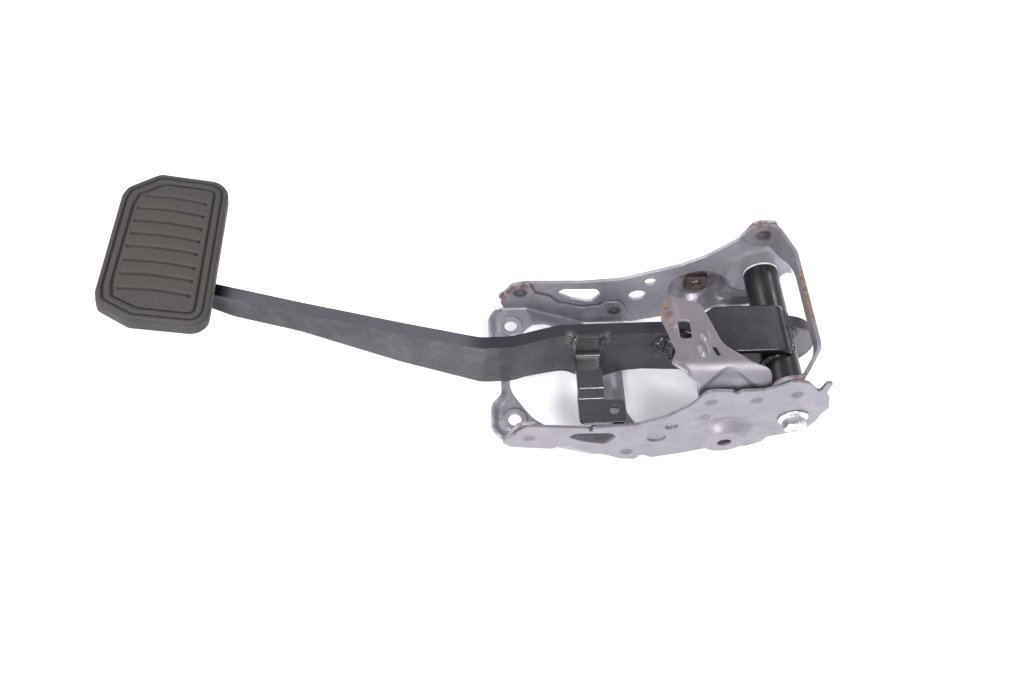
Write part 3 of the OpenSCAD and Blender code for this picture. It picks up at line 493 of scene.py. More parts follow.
def bent(points, steps=7):
    """An open line whose inner corners are given as (x, y, radius)."""
    out = [np.array(points[0][:2], float)]
    for k in range(1, len(points) - 1):
        out += corner_arc(points[k - 1], points[k], points[k + 1], steps)
    out.append(np.array(points[-1][:2], float))
    return np.array(out)


def lengths(line):
    """Distance along an open line at each of its points."""
    return np.concatenate([[0], np.cumsum(np.linalg.norm(np.diff(line, axis=0), axis=1))])


def along(line, s):
    """Points at distances along an open line, and the unit directions to its left."""
    at = lengths(line)
    x = np.interp(s, at, line[:, 0])
    y = np.interp(s, at, line[:, 1])
    step = 0.35
    dx = np.interp(s + step, at, line[:, 0]) - np.interp(s - step, at, line[:, 0])
    dy = np.interp(s + step, at, line[:, 1]) - np.interp(s - step, at, line[:, 1])
    size = np.hypot(dx, dy) + 1e-12
    return x, y, -dy / size, dx / size


def circle(x, y, r, n=40):
    t = np.arange(n) * 2 * math.pi / n
    return np.stack([x + r * np.cos(t), y + r * np.sin(t)], axis=1)


def inside(points, loop):
    """Which points lie in a closed loop."""
    a = loop
    b = np.roll(loop, -1, axis=0)
    hit = np.zeros(len(points), bool)
    for (x0, y0), (x1, y1) in zip(a, b):
        cross = (y0 > points[:, 1]) != (y1 > points[:, 1])
        if abs(y1 - y0) > 1e-12:
            hit ^= cross & (points[:, 0] < (x1 - x0) * (points[:, 1] - y0) / (y1 - y0) + x0)
    return hit


def gap_to(points, loop):
    """Distance of each point from a closed loop."""
    a = loop
    d = np.roll(loop, -1, axis=0) - a
    best = np.full(len(points), 1e9)
    for p, v in zip(a, d):
        w = points - p
        t = np.clip((w @ v) / max(float(v @ v), 1e-12), 0, 1)
        best = np.minimum(best, np.linalg.norm(w - t[:, None] * v, axis=1))
    return best


def net(outline, holes, step, extra=None, keep=False):
    """Points and triangles that fill an outline with holes; keep leaves the outline's points as they are."""
    loops = [outline if keep else resampled(outline, step)] + [resampled(h, step * 0.8) for h in holes]
    low, high = outline.min(0), outline.max(0)
    row = step * math.sqrt(3) / 2
    grid = np.array([
        (x + (step / 2 if j % 2 else 0), y)
        for j, y in enumerate(np.arange(low[1], high[1], row)) for x in np.arange(low[0], high[0], step)])
    if extra is not None and len(extra):
        cells = {}
        for q in extra:
            cells.setdefault((int(q[0] // step), int(q[1] // step)), []).append(q)
        keep = []
        for g in grid:
            cx, cy = int(g[0] // step), int(g[1] // step)
            close = [q for i in (-1, 0, 1) for j in (-1, 0, 1) for q in cells.get((cx + i, cy + j), ())]
            keep.append(all(np.hypot(*(g - q)) > 0.6 * step for q in close))
        grid = np.concatenate([grid[np.array(keep)], extra])
    ok = inside(grid, loops[0]) & (gap_to(grid, loops[0]) > 0.45 * step)
    for loop in loops[1:]:
        ok &= ~inside(grid, loop) & (gap_to(grid, loop) > 0.45 * step)
    points = np.concatenate(loops + [grid[ok]])
    edges = []
    start = 0
    for loop in loops:
        n = len(loop)
        edges += [(start + k, start + (k + 1) % n) for k in range(n)]
        start += n
    verts, _, faces, _, _, _ = delaunay_2d_cdt([Vector(p) for p in points], edges, [], 0, 1e-6)
    verts = np.array([tuple(v) for v in verts])
    faces = np.array([f for f in faces])
    middle = verts[faces].mean(axis=1)
    ok = inside(middle, loops[0])
    for loop in loops[1:]:
        ok &= ~inside(middle, loop)
    return verts, faces[ok]


def step_up(x, low, high):
    """0 below low, 1 above high, smooth between."""
    t = np.clip((np.asarray(x, float) - low) / (high - low), 0, 1)
    return t * t * (3 - 2 * t)


def piece(name, verts, faces, key, body, stands_for=(), smooth=True):
    """A new mesh object in the shared frame, from points in millimetres."""
    mesh = bpy.data.meshes.new(name)
    mesh.from_pydata([tuple(float(c) * MM for c in v) for v in verts], [], [tuple(int(i) for i in f) for f in faces])
    mesh.validate()
    mesh.polygons.foreach_set("use_smooth", [smooth] * len(mesh.polygons))
    mesh.update()
    o = bpy.data.objects.new(name, mesh)
    bpy.context.scene.collection.objects.link(o)
    o.data.materials.append(material(key))
    if body:
        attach(o, body)
    if stands_for:
        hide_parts(*stands_for)
    return o


def edge_bevel(o, width, angle=35.0, segments=2):
    bevel = o.modifiers.new("edges", "BEVEL")
    bevel.width = width
    bevel.segments = segments
    bevel.limit_method = "ANGLE"
    bevel.angle_limit = math.radians(angle)
    even = o.modifiers.new("even_normals", "WEIGHTED_NORMAL")
    even.weight = 80
    even.keep_sharp = False


def border_loops(faces):
    """The border edges of a net as closed loops of vertex numbers, in the direction of its faces."""
    seen = set()
    for a, b, c in faces:
        seen.update(((a, b), (b, c), (c, a)))
    after = {a: b for a, b in seen if (b, a) not in seen}
    loops = []
    while after:
        first, at = next(iter(after.items()))
        loop = [first]
        del after[first]
        while at != first and at in after:
            loop.append(at)
            at = after.pop(at)
        loops.append(loop)
    return loops


def shell(verts, faces, thickness, edge, smoothing=2):
    """A net's points and faces grown to a sheet of some thickness behind it, with rounded cut edges."""
    verts = np.array(verts, float)
    faces = np.array(faces)
    a, b, c = (verts[faces[:, k]] for k in range(3))
    normal = np.cross(b - a, c - a)
    at = np.zeros_like(verts)
    for k in range(3):
        np.add.at(at, faces[:, k], normal)
    at /= np.linalg.norm(at, axis=1)[:, None] + 1e-12
    for _ in range(smoothing):
        soft = at * 2
        for i, j in ((0, 1), (1, 2), (2, 0)):
            np.add.at(soft, faces[:, i], at[faces[:, j]])
            np.add.at(soft, faces[:, j], at[faces[:, i]])
        at = soft / (np.linalg.norm(soft, axis=1)[:, None] + 1e-12)
    n = len(verts)
    points = [verts, verts - at * thickness]
    out_faces = [tuple(f) for f in faces] + [(f[0] + n, f[2] + n, f[1] + n) for f in faces]
    count = 2 * n
    for loop in border_loops([tuple(int(i) for i in f) for f in faces]):
        ring = verts[loop]
        along = np.roll(ring, -1, axis=0) - np.roll(ring, 1, axis=0)
        along /= np.linalg.norm(along, axis=1)[:, None] + 1e-12
        away = np.cross(along, at[loop])
        away /= np.linalg.norm(away, axis=1)[:, None] + 1e-12
        up = at[loop]
        rows = [list(loop)]
        for reach, depth in ((0.7, 0.3), (1.0, 1.0), (1.0, thickness / edge - 1.0), (0.7, thickness / edge - 0.3)):
            points.append(ring + away * reach * edge - up * depth * edge)
            rows.append(list(range(count, count + len(loop))))
            count += len(loop)
        rows.append([i + n for i in loop])
        for upper, lower in zip(rows, rows[1:]):
            for k in range(len(loop)):
                j = (k + 1) % len(loop)
                out_faces.append((upper[k], lower[k], lower[j], upper[j]))
    return np.concatenate(points), out_faces


def pressing(name, verts, faces, thickness, stands_for=(), key="bracket_steel", body="bracket"):
    """A pressed sheet piece: its seen face is the net, its thickness lies behind."""
    verts, faces = shell(verts, faces, thickness, looks().edge_round / MM)
    o = piece(name, verts, faces, key, body, stands_for)
    even = o.modifiers.new("even_normals", "WEIGHTED_NORMAL")
    even.weight = 80
    even.keep_sharp = False
    return o


def flipped(faces):
    return np.array([(f[0], f[2], f[1]) for f in faces])


# Outlines of the side plates, as (x, z, corner radius)
NEAR_OUTLINE = [
    (-8.5, 10, 2.5), (-3, 3.5, 3), (10, 1, 4), (23, -1.5, 2), (25.5, 2, 1), (32.5, 1, 3), (54, -11.5, 10),
    (67, -20, 6), (77, -22, 2), (78.5, -16.5, 1), (82.5, -16, 1), (87, -20, 4), (105, -15, 8),
    (120, -9, 10), (146, -7.5, 6), (154, -2, 5), (155.5, 4.5, 3), (174, 12, 8), (179.5, 26, 6), (180.5, 38, 4),
    (183, 43, 3), (180, 54, 5), (176, 61, 2), (176.5, 72, 1), (173.5, 72, 1), (172.5, 63, 1.5), (170, 64, 3),
    (163, 73, 5), (155, 76, 7), (147, 69, 4), (140, 66, 4), (127.5, 66, 1), (124.5, 62.5, 1), (122, 66, 1.5),
    (108, 68, 6), (101, 50, 6), (89.5, 37.5, 8), (74, 27.5, 12), (46.4, 24.6, 2), (46, 20.6, 1), (44, 20.6, 1),
    (43.6, 24.9, 2), (6, 30.5, 9), (-1, 20, 3),
]
FAR_OUTLINE = [
    (-8, 12, 2), (-2, 7.5, 2), (10, 4, 4), (23, -0.5, 2), (25.5, 3, 1), (32.5, 2, 3), (54, -11.5, 10),
    (67, -20, 6), (86, -23, 8), (106, -18, 8), (120, -14.8, 6), (131, -8.1, 8), (139.5, -1.2, 6), (146, -0.4, 6),
    (153.5, -2.1, 6), (166, -0.4, 8), (172, 9, 3), (176, 14, 6), (180, 20, 5), (179, 28, 5), (182.5, 33, 3), (186.5, 30, 1.5),
    (181.5, 41, 6), (173, 59, 6), (163, 83, 5), (150, 84, 7), (143, 66, 8), (126, 49.5, 12), (111, 40.5, 8),
    (92, 34, 10), (74, 27.5, 12), (48, 25.5, 8), (8, 27.5, 9), (-1, 20, 3),
]
# The top of the far plate's rolled lip, as (x, z)
LIP_TOP = [(112, -16), (120, -10.8), (131, -3.9), (139.5, 3.0), (146, 3.9), (153.5, 2.2), (162, 3.0), (168, 4.0), (176, 8)]
LIP_ROLL = 3.0
WINDOW = [(30.8, 14.0, 3.1), (35.8, 19.3, 3.2), (58, 18.5, 3.4), (62, 12.4, 3), (56, 1.8, 3.6), (41.2, 7, 9)]
PLATE_HOLES = [(93.4, 24.3, 4.15), (86.5, 8.8, 6.05)]
# Spot welds on the side plates, as (x, z)
NEAR_SPOTS = [(8, 15), (70, -10), (112, 54), (138, 55), (160, 60), (112, 36)]


def spot_dents(x, z, spots, depth=0.55):
    """Flat round dents with a soft border, where the spot welding tips pressed."""
    d = np.zeros_like(x)
    for sx, sz in spots:
        d -= depth * (1 - step_up(np.hypot(x - sx, z - sz), 2.6, 4.4))
        d += 0.15 * np.exp(-((np.hypot(x - sx, z - sz) - 5.0) / 0.8) ** 2)
    return d


def boss_out(x, z, face_r, root_r):
    """How far a weld boss stands out of its plate."""
    r = np.hypot(x - BOSS[0], z - BOSS[1])
    slope = np.clip((r - face_r) / (root_r - face_r), 0, 1)
    return looks().boss_height / MM * (1 - 0.75 * slope - 0.25 * step_up(r, face_r, root_r))


def near_out(x, z):
    """How far the near plate's outer face stands out of its plane."""
    r = np.hypot(x - PIVOT[0], z - PIVOT[1])
    rb = np.hypot(x - BOSS[0], z - BOSS[1])
    d = boss_out(x, z, 12.3, 19.4)
    d = np.maximum(d, 1.0 * (1 - step_up(r, 19.0, 24.0)))
    d = np.maximum(d, 1.0 * (1 - step_up(rb, 23.5, 27.0)) * step_up(z, 12.0, 24.0))
    arch = np.hypot((x - 112) / 1.6, (z - 36) / 0.9)
    d += 0.4 * (1 - step_up(arch, 4.0, 9.0))
    d += 0.12 * np.sin(x * 0.11 + 0.6) * np.sin(z * 0.13)
    return d + spot_dents(x, z, NEAR_SPOTS)


def far_in(x, z):
    """How far the far plate's inner face stands inwards of its plane."""
    r = np.hypot(x - PIVOT[0], z - PIVOT[1])
    seat = 1.5 * (1 - step_up(r, 15.0, 18.6))
    dome = 1.45 * (1 - step_up(r, 21.5, 25.2))
    rb = np.hypot(x - BOSS[0], z - BOSS[1])
    d = np.maximum(seat, dome * step_up(rb, 17.0, 22.0)) - boss_out(x, z, 15.4, 19.6)
    d += 0.65 * np.exp(-((rb - 22.5) / 1.5) ** 2) * step_up(z, 8.0, 20.0)
    return d + 0.1 * np.sin(x * 0.1 + 1.6) * np.sin(z * 0.12)


def plate_extra(boss_rings, seat_rings):
    """More points where the boss and the pivot's seat need them."""
    rings = [circle(BOSS[0], BOSS[1], r, int(r * 7)) for r in boss_rings]
    rings += [circle(PIVOT[0], PIVOT[1], r, int(r * 6)) for r in seat_rings]
    return np.concatenate(rings)


def near_plate():
    """The near side plate, drawn outwards at its boss and its pivot."""
    holes = [rounded(WINDOW), circle(*BOSS, 4.6, 36), circle(*PIVOT, 4.25, 36)]
    holes += [circle(*h) for h in PLATE_HOLES]
    extra = plate_extra((7, 9.5, 11.5, 12.6, 14, 15.5, 17, 18.4, 19.6, 21, 23.6, 25.2, 26.8), (15, 18.6, 20, 21.5, 23, 24.5))
    points, faces = net(rounded(NEAR_OUTLINE), holes, 1.5, extra)
    x, z = points[:, 0], points[:, 1]
    verts = np.stack([x, -OUT_Y - near_out(x, z), z], axis=1)
    return pressing("near_plate_pressing", verts, faces, SHEET, ["near_side_plate"])


def rolled_lip(x, z):
    """The far plate's inner face over its flat pattern: the plate, and below it the lip rolled inwards."""
    line = smooth_line(LIP_TOP, 8)
    top = np.interp(x, line[:, 0], line[:, 1])
    top = top - 20 * (1 - step_up(x, 116.0, 121.0)) - 20 * step_up(x, 167.0, 171.0)
    start = top + LIP_ROLL
    down = np.maximum(start - z, 0)
    angle = np.minimum(down / LIP_ROLL, math.pi / 2)
    over = np.maximum(down - LIP_ROLL * math.pi / 2, 0)
    y = IN_Y - LIP_ROLL * (1 - np.cos(angle)) - over - far_in(x, np.maximum(z, start)) * (1 - step_up(down, 0.0, 4.0))
    height = np.where(z > start, z, start - LIP_ROLL * np.sin(angle))
    return np.stack([x, y, height], axis=1)


def far_plate():
    """The far side plate, seen from inside: its recessed boss, its raised seat and its rolled lip."""
    holes = [rounded(WINDOW), circle(*BOSS, 4.6, 36), circle(*PIVOT, 4.25, 36)]
    holes += [circle(*h) for h in PLATE_HOLES]
    extra = plate_extra((7, 10, 13, 14.6, 15.4, 16.2, 17, 17.8, 18.6, 19.6, 21, 22.5, 24), (15, 16.2, 17.4, 18.6, 21.5, 22.6, 24, 25.4, 26.6))
    line = smooth_line(LIP_TOP, 8)
    lip = [np.stack([xs, np.interp(xs, line[:, 0], line[:, 1]) + d], axis=1)
           for d in (3.2, 2.4, 1.6, 0.8, 0.0, -0.8, -1.6) for xs in (np.arange(121, 168, 1.2),)]
    points, faces = net(rounded(FAR_OUTLINE), holes, 1.5, spaced(np.concatenate([extra] + lip), 0.5))
    verts = rolled_lip(points[:, 0], points[:, 1])
    # The far plate takes the paler coat, painted light for its shaded inside.
    return pressing("far_plate_pressing", verts, faces, SHEET, ["far_side_plate"], "lit_inner_steel")


def spaced(points, least):
    """The points without those that lie too close to an earlier one."""
    kept, cells = [], {}
    for q in points:
        cell = (int(q[0] // least), int(q[1] // least))
        close = [o for i in (-1, 0, 1) for j in (-1, 0, 1) for o in cells.get((cell[0] + i, cell[1] + j), ())]
        if all(np.hypot(*(q - o)) > least for o in close):
            kept.append(q)
            cells.setdefault(cell, []).append(q)
    return np.array(kept)


# The base plate, laid flat: its half outline, its opening and its flanges' edges, as (x, y or z, corner radius)
EAR_HALF = [(-7.5, 18, 8), (-13.8, 25, 9), (-13.8, 42, 10), (-8, 48.5, 5)]
OPENING_HALF = [(-2.5, 14, 20), (12, 36, 20), (25, 41, 8), (40, 39, 6), (55.5, 30, 14)]
FLANGE_TOP = [
    (-4, 3, 0), (-6, 9, 3), (1, 29.5, 7), (13, 29.5, 6), (16.5, 17, 5), (27, 12, 5), (33.5, 3.5, 6), (61, -1, 6),
    (65, 4, 4), (76, 4, 5), (79.5, -5, 5), (79.5, -12, 0),
]
STEP_LINE = bent([(-200, 0, 0), (0, 0, 5), (37.6, -21, 8), (300, -21, 0)])
FLANGE_Y = IN_Y - SHEET


def pan_floor(x, y):
    """Height of the base plate's upper face where it is floor."""
    side = np.maximum(np.abs(y), 30.0) - IN_Y
    across = (x - 9.6) * math.cos(math.radians(20)) + side * math.sin(math.radians(20))
    return np.interp(across, STEP_LINE[:, 0], STEP_LINE[:, 1]) + SHEET


def pan_roll(x):
    """Radius of the rolled corner between floor and flange, on the seen side."""
    return 1.5 + 0.8 * step_up(x, 4.0, 20.0)


def pan_unrolled(x, z):
    """Where a point of a flange lies across the flattened sheet."""
    r = pan_roll(x)
    return FLANGE_Y - r + r * math.pi / 2 + z - pan_floor(x, FLANGE_Y) - r


def pan_place(x, s):
    """The base plate's upper face over the flattened sheet."""
    side = np.where(s < 0, -1.0, 1.0)
    s = np.abs(s)
    r = pan_roll(x)
    start = FLANGE_Y - r
    angle = np.clip((s - start) / r, 0, math.pi / 2)
    over = np.maximum(s - start - r * math.pi / 2, 0)
    y = np.minimum(s, start) + r * np.sin(angle)
    z = pan_floor(x, y) + r * (1 - np.cos(angle)) + over
    flat = step_up(angle, 0.5, 0.1)
    ring = np.hypot(x, y - 35)
    z = z + 0.8 * (1 - step_up(ring, 7.5, 8.5)) + 0.25 * np.exp(-((ring - 7.2) / 0.7) ** 2)
    rim = gap_to(np.stack([x, s], axis=1), np.concatenate([PAN_EAR, [(0.0, 51.0), (60.0, 30.0), (60.0, 10.0)]]))
    rim_here = flat * step_up(x, 1.5, -1.5) * step_up(y, 13.0, 20.0) * step_up(y, 49.5, 46.0)
    z = z + rim_here * (2.8 * (1 - step_up(rim, 0.8, 3.4)) - 0.45 * np.exp(-((rim - 4.4) / 0.8) ** 2))
    bead = 3.5 * np.clip(1 - ((x - 64.6) / 9.6) ** 2, 0, 1) * (1 - step_up(y, 32.0, 37.0)) * (x > 50)
    z = z + bead
    dent = spot_dents(x, z, [(7, 19.6), (72, -5.6)], 0.4) * step_up(over, 0.0, 1.0)
    return np.stack([x, side * (y - dent), z], axis=1)


PAN_EAR = bent([(-7.5, 0, 0), *EAR_HALF, (-5, 52.5, 0)])


def base_pan():
    """The base plate: ears with a curled rim, skewed slope, beaded lower web and upturned flanges."""
    flange = bent(FLANGE_TOP)
    flange = np.stack([flange[:, 0], pan_unrolled(flange[:, 0], flange[:, 1])], axis=1)
    foot = bent([(79.5, 45.5, 0), (79.5, 31, 4), (74.5, 22, 8), (74.5, 0, 0)])
    half = np.concatenate([PAN_EAR[:-1], flange, foot])
    outline = np.concatenate([half, (half * (1, -1))[::-1][1:-1]])
    gap = OPENING_HALF[::-1] + [(x, -y, r) for x, y, r in OPENING_HALF]
    holes = [rounded(gap), circle(0, 35, 4.5, 36), circle(0, -35, 4.5, 36)]
    rings = [circle(0, y, r, int(r * 7)) for y in (35, -35) for r in (5.6, 6.8, 7.6, 8.1, 8.7, 9.6)]
    rim = []
    for d in (0.6, 1.4, 2.2, 3.0, 3.8, 4.6, 5.4):
        at = lengths(PAN_EAR)
        x, y, nx, ny = along(PAN_EAR, np.arange(20, at[-1] - 3, 1.0))
        rim += [np.stack([x - nx * -d, y - ny * -d], axis=1), np.stack([x - nx * -d, -(y - ny * -d)], axis=1)]
    points, faces = net(outline, holes, 1.7, np.concatenate(rings + rim))
    verts = pan_place(points[:, 0], points[:, 1])
    # The base plate takes the paler coat, painted light for its shaded inside.
    return pressing("base_pan", verts, faces, SHEET, ["base_plate"], "lit_inner_steel")


# The switch bracket over its flattened sheet, as (x, distance along its bend line, corner radius)
SWITCH_LINE = bent([(20, 71, 0), (-39, 71, 14), (-49.6, 61, 5), (-49.6, 47, 0)])


def switch_along(y):
    """Where a place across the bracket lies along the switch bracket's bend line."""
    return float(np.interp(-y, -SWITCH_LINE[:, 0], lengths(SWITCH_LINE)))


def ridge(x, y, a, b, high, wide):
    """A rounded rib from a to b."""
    a, b = np.array(a, float), np.array(b, float)
    w = np.stack([x - a[0], y - a[1]], axis=1)
    v = b - a
    t = np.clip((w @ v) / float(v @ v), 0, 1)
    d = np.linalg.norm(w - t[:, None] * v, axis=1)
    return high * np.exp(-((d / wide) ** 2))


def switch_sheet():
    """The bracket that carries the stop lamp switch."""
    end = lengths(SWITCH_LINE)[-1]
    flat = [(87, -6, 5), (89, 5, 4), (96, 8.5, 5), (111, 3, 6), (119.5, -25, 14), (134, -37, 10), (145.5, -42, 6)]
    outline = [(x, 20 - y, r) for x, y, r in flat]
    outline += [(146, end, 2), (107, end, 2), (103.5, switch_along(-46.5), 4), (89, 20 + 36, 3), (93, 20 + 28, 5)]
    t = np.radians(np.arange(0, 360, 9))
    keyed = np.stack([99.6 + np.clip(7.0 * np.cos(t), -3.9, 3.9), 34.2 + 6.6 * np.sin(t)], axis=1)
    slot = rounded([(112.7, 46.5, 1.5), (115.9, 45.5, 1.5), (118.6, 52.2, 1.5), (115.2, 53.4, 1.5)], 4)
    points, faces = net(rounded(outline), [resampled(keyed, 1.0), slot], 0.95)
    x, s = points[:, 0], points[:, 1]
    y, z, ny, nz = along(SWITCH_LINE, s)
    d = ridge(x, y, (92.4, 3.0), (94.2, -11.0), 1.2, 2.3) + ridge(x, y, (109.7, -18.6), (109.9, -20.6), 1.7, 1.6)
    d += ridge(x, y, (107.4, -26.6), (107.6, -30.2), 1.9, 2.0) + ridge(x, y, (88.0, -34.8), (97.5, -41.8), 0.8, 1.4)
    spread = np.clip((-y - 38.6) * 1.7, 0.01, 40)
    dart = np.clip(1.0 - np.abs(x - 121.5) / spread, 0, 1) * step_up(-y, 38.6, 42.0)
    d -= 1.8 * step_up(dart, 0.0, 0.32) * step_up(-y, 38.0, 46.0) * step_up(s, end - 4.0, end - 12.0)
    d += 0.12 * np.sin(x * 0.21) * np.sin(y * 0.17 + 1.0)
    verts = np.stack([x, y - ny * d, z - nz * d], axis=1)
    return pressing("switch_bracket_pressing", verts, faces_up(verts, faces), SHEET, ["switch_bracket"])


def faces_up(verts, faces):
    """The faces turned so that most of them face up."""
    a, b, c = (verts[faces[:, k]] for k in range(3))
    return faces if np.cross(b - a, c - a)[:, 2].sum() > 0 else flipped(faces)


STRAP_LINE = bent([(145, 49.8, 0), (161.5, 49.8, 6), (169.8, 31, 10), (169.8, -35, 6), (159.5, -49.8, 6), (145, -49.8, 0)])


def strap():
    """The end strap: an arch across the car with a lobe welded to each side plate."""
    at = lengths(STRAP_LINE)
    total = at[-1]
    s = np.linspace(0, total, 150)
    x, y, nx, ny = along(STRAP_LINE, s)
    top = np.interp(-y, (-49.9, -42, -32, 32, 43, 49.9), (83.2, 82.6, 81.4, 81.4, 76.5, 76.0))
    low = np.interp(-y, (-49.9, -38, -19, 33, 44, 47, 49.9), (64.5, 66.0, 74.2, 74.0, 58.0, 54.5, 53.3))
    soft = np.ones(7) / 7
    top = np.convolve(np.pad(top, 3, "edge"), soft, "valid")
    low = np.convolve(np.pad(low, 3, "edge"), soft, "valid")
    rows = []
    for k in range(len(s)):
        end = min(s[k], total - s[k])
        reach = 9.0 if s[k] < total / 2 else 10.0
        round_off = math.sqrt(max(0.0, 1 - max(0.0, (reach - end) / reach) ** 2)) if end < reach else 1.0
        mid, half = (top[k] + low[k]) / 2, (top[k] - low[k]) / 2 * max(round_off, 0.12)
        rows.append([(x[k], y[k], mid + half * t) for t in np.linspace(-1, 1, 11)])
    verts = np.array([q for row in rows for q in row], float)
    dent = spot_dents(verts[:, 0], verts[:, 2], [(156.5, 73.5)], 0.8)
    verts[:, 1] -= dent * (verts[:, 1] > 49.0)
    faces = []
    for i in range(len(rows) - 1):
        for j in range(10):
            a = i * 11 + j
            faces += [(a, a + 11, a + 12), (a, a + 12, a + 1)]
    return pressing("end_strap_pressing", verts, facing(verts, faces, (150, 0, 70)), SHEET, ["end_strap"])


def facing(verts, faces, point):
    """The faces turned so that most of them face a point."""
    faces = np.array(faces)
    a, b, c = (verts[faces[:, k]] for k in range(3))
    to = np.array(point, float) - a
    return faces if (np.cross(b - a, c - a) * to).sum() > 0 else flipped(faces)


STRIP_LINE = bent([(-3.25, 46.5, 0), (-3.25, 27, 2.2), (-27.24, 27, 3.2), (-32.24, 22, 3.2), (-48.3, 22, 0)], 9)


def strip_sheet():
    """The side strip: down the arm, out, down a joggle and out to its holed lug."""
    end = lengths(STRIP_LINE)[-1]
    lug = float(np.interp(33.5, -STRIP_LINE[:, 0], lengths(STRIP_LINE)))
    outline = rounded([(39, 0, 0.6), (54.6, 0, 0.6), (54.6, lug, 1.5), (67, lug, 2), (67, end, 2), (39, end, 4)])
    hole = circle(60.5, end - 8, 3.2, 32)
    bends = [np.stack([np.arange(39.8, 54.2, 1.2), np.full(13, q)], axis=1)
             for q in lengths(STRIP_LINE)[1:-1] if q < lug - 0.6][::2]
    points, faces = net(outline, [hole], 1.3, np.concatenate(bends))
    x, q = points[:, 0], points[:, 1]
    y, z, ny, nz = along(STRIP_LINE, q)
    verts = np.stack([x, y, z], axis=1)
    return pressing("side_strip_bent", verts, facing(verts, faces, (50, -60, 120)), 3.0, ["side_strip"],
                    "strip_black", "pedal")


BOX_PATH = [(167.8, -19, 0), (134, -19, 7), (104.6, -2.9, 4), (98, -2.9, 2.6), (98, 10.4, 2.6), (118.4, 10.4, 4),
            (125, 15, 5), (167.8, 15, 0)]
BOX_TOP = 50.5
BOX_EDGE = 2.2


def box_drop(x):
    """How far the box's top has curved down towards the tube at x."""
    t = np.clip((np.asarray(x, float) - 160.0) / 8.5, 0, 1)
    return 8.5 * (1 - np.sqrt(1 - 0.72 * t * t))


def box_skin():
    """The arm's box: a flat top with rounded edges and walls that stop at the tube."""
    path = bent(BOX_PATH, 6)
    total = lengths(path)[-1]
    s = np.linspace(0, total, int(total / 1.3))
    x, y, nx, ny = along(path, s)
    rows = []
    low = np.where(x > PIVOT[0] - 11.2, PIVOT[1] + np.sqrt(np.clip(11.3 ** 2 - (x - PIVOT[0]) ** 2, 0, None)), 16.5)
    low = np.where(x > PIVOT[0] - 11.2, np.maximum(low, 34.0), low)
    top = BOX_TOP - box_drop(x)
    for t in np.linspace(0, 1, 8):
        rows.append(np.stack([x, y, low + (top - BOX_EDGE - low) * t], axis=1))
    for a in np.linspace(0, math.pi / 2, 6)[1:]:
        reach = BOX_EDGE * (1 - math.cos(a))
        rows.append(np.stack([x - nx * reach, y - ny * reach, top - BOX_EDGE * (1 - math.sin(a))], axis=1))
    n = len(s)
    faces = []
    for i in range(len(rows) - 1):
        for j in range(n - 1):
            a = i * n + j
            faces += [(a, a + n, a + n + 1), (a, a + n + 1, a + 1)]
    rim = rows[-1][:, :2]
    if np.linalg.norm(rim[0] - (path[0] + (0, BOX_EDGE))) > 1.0:
        raise RuntimeError("the box's rim lies on the wrong side of its path")
    close = np.linspace(rim[-1], rim[0], 22)[1:-1]
    points, top_faces = net(np.concatenate([rim, close]), [], 2.0, keep=True)
    if len(points) < n or np.abs(points[:n] - rim).max() > 1e-3:
        raise RuntimeError("the box's top doesn't start at its rim")
    flat = np.stack([points[n:, 0], points[n:, 1], BOX_TOP - box_drop(points[n:, 0])], axis=1)
    flat[:, 2] -= 0.25 * np.exp(-(((points[n:, 0] - 140) / 22) ** 2 + ((points[n:, 1] + 3) / 9) ** 2))
    shift = len(rows) * n
    last = (len(rows) - 1) * n
    top_faces = [[last + i if i < n else shift + i - n for i in f] for f in top_faces]
    verts = np.concatenate(rows + [flat])
    all_faces = np.concatenate([facing(verts, faces, (130, 0, 30))[:, ::-1], faces_up(verts, np.array(top_faces))])
    return pressing("arm_box_skin", verts, all_faces, 2.5, ["arm_box"], "box_black", "pedal")


def weld_nut(name, side, stands_for):
    """A square weld nut in its boss, with rounded corners, a chamfered face and a thread."""
    n = 64
    t = np.arange(n) * 2 * math.pi / n + math.radians(8)
    square = 7.0 / np.maximum(np.abs(np.cos(t)), np.abs(np.sin(t)))
    square = np.minimum(square, 9.0 - 0.2 * np.cos(4 * t))
    face_y, back_y = IN_Y + 3.4, IN_Y + 7.4
    rows = []

    def ring(radius, y):
        radius = np.broadcast_to(radius, t.shape)
        y = np.broadcast_to(y, t.shape)
        rows.append([(BOSS[0] + r * math.cos(a), side * h, BOSS[1] + r * math.sin(a)) for a, r, h in zip(t, radius, y)])

    ring(square, back_y)
    ring(square, face_y + 0.9)
    ring(square - 0.5, face_y + 0.25)
    ring(square - 1.4, face_y)
    ring(5.4, face_y - 0.05)
    ring(5.0, face_y - 0.35)
    ring(4.5, face_y - 0.3)
    ring(4.0, face_y + 0.2)
    for y in np.linspace(face_y + 0.3, back_y, 28):
        phase = (y / 1.25 - t / (2 * math.pi)) % 1.0
        ring(3.4 + 0.55 * np.abs(2 * phase - 1), y)
    verts, faces = skin(rows)
    o = piece(name, verts, faces if side < 0 else [f[::-1] for f in faces], "nut_steel", "bracket", stands_for)
    edge_bevel(o, 0.0002, 28.0)
    return o


def smooth_line(points, n):
    """A smooth open line through points, with n steps a span."""
    p = [np.array(q, float) for q in points]
    p = [2 * p[0] - p[1]] + p + [2 * p[-1] - p[-2]]
    out = []
    for k in range(1, len(p) - 2):
        for t in np.arange(n) / n:
            out.append(0.5 * (2 * p[k] + (p[k + 1] - p[k - 1]) * t
                              + (2 * p[k - 1] - 5 * p[k] + 4 * p[k + 1] - p[k + 2]) * t * t
                              + (3 * p[k] - p[k - 1] - 3 * p[k + 1] + p[k + 2]) * t ** 3))
    return np.array(out + [p[-2]])


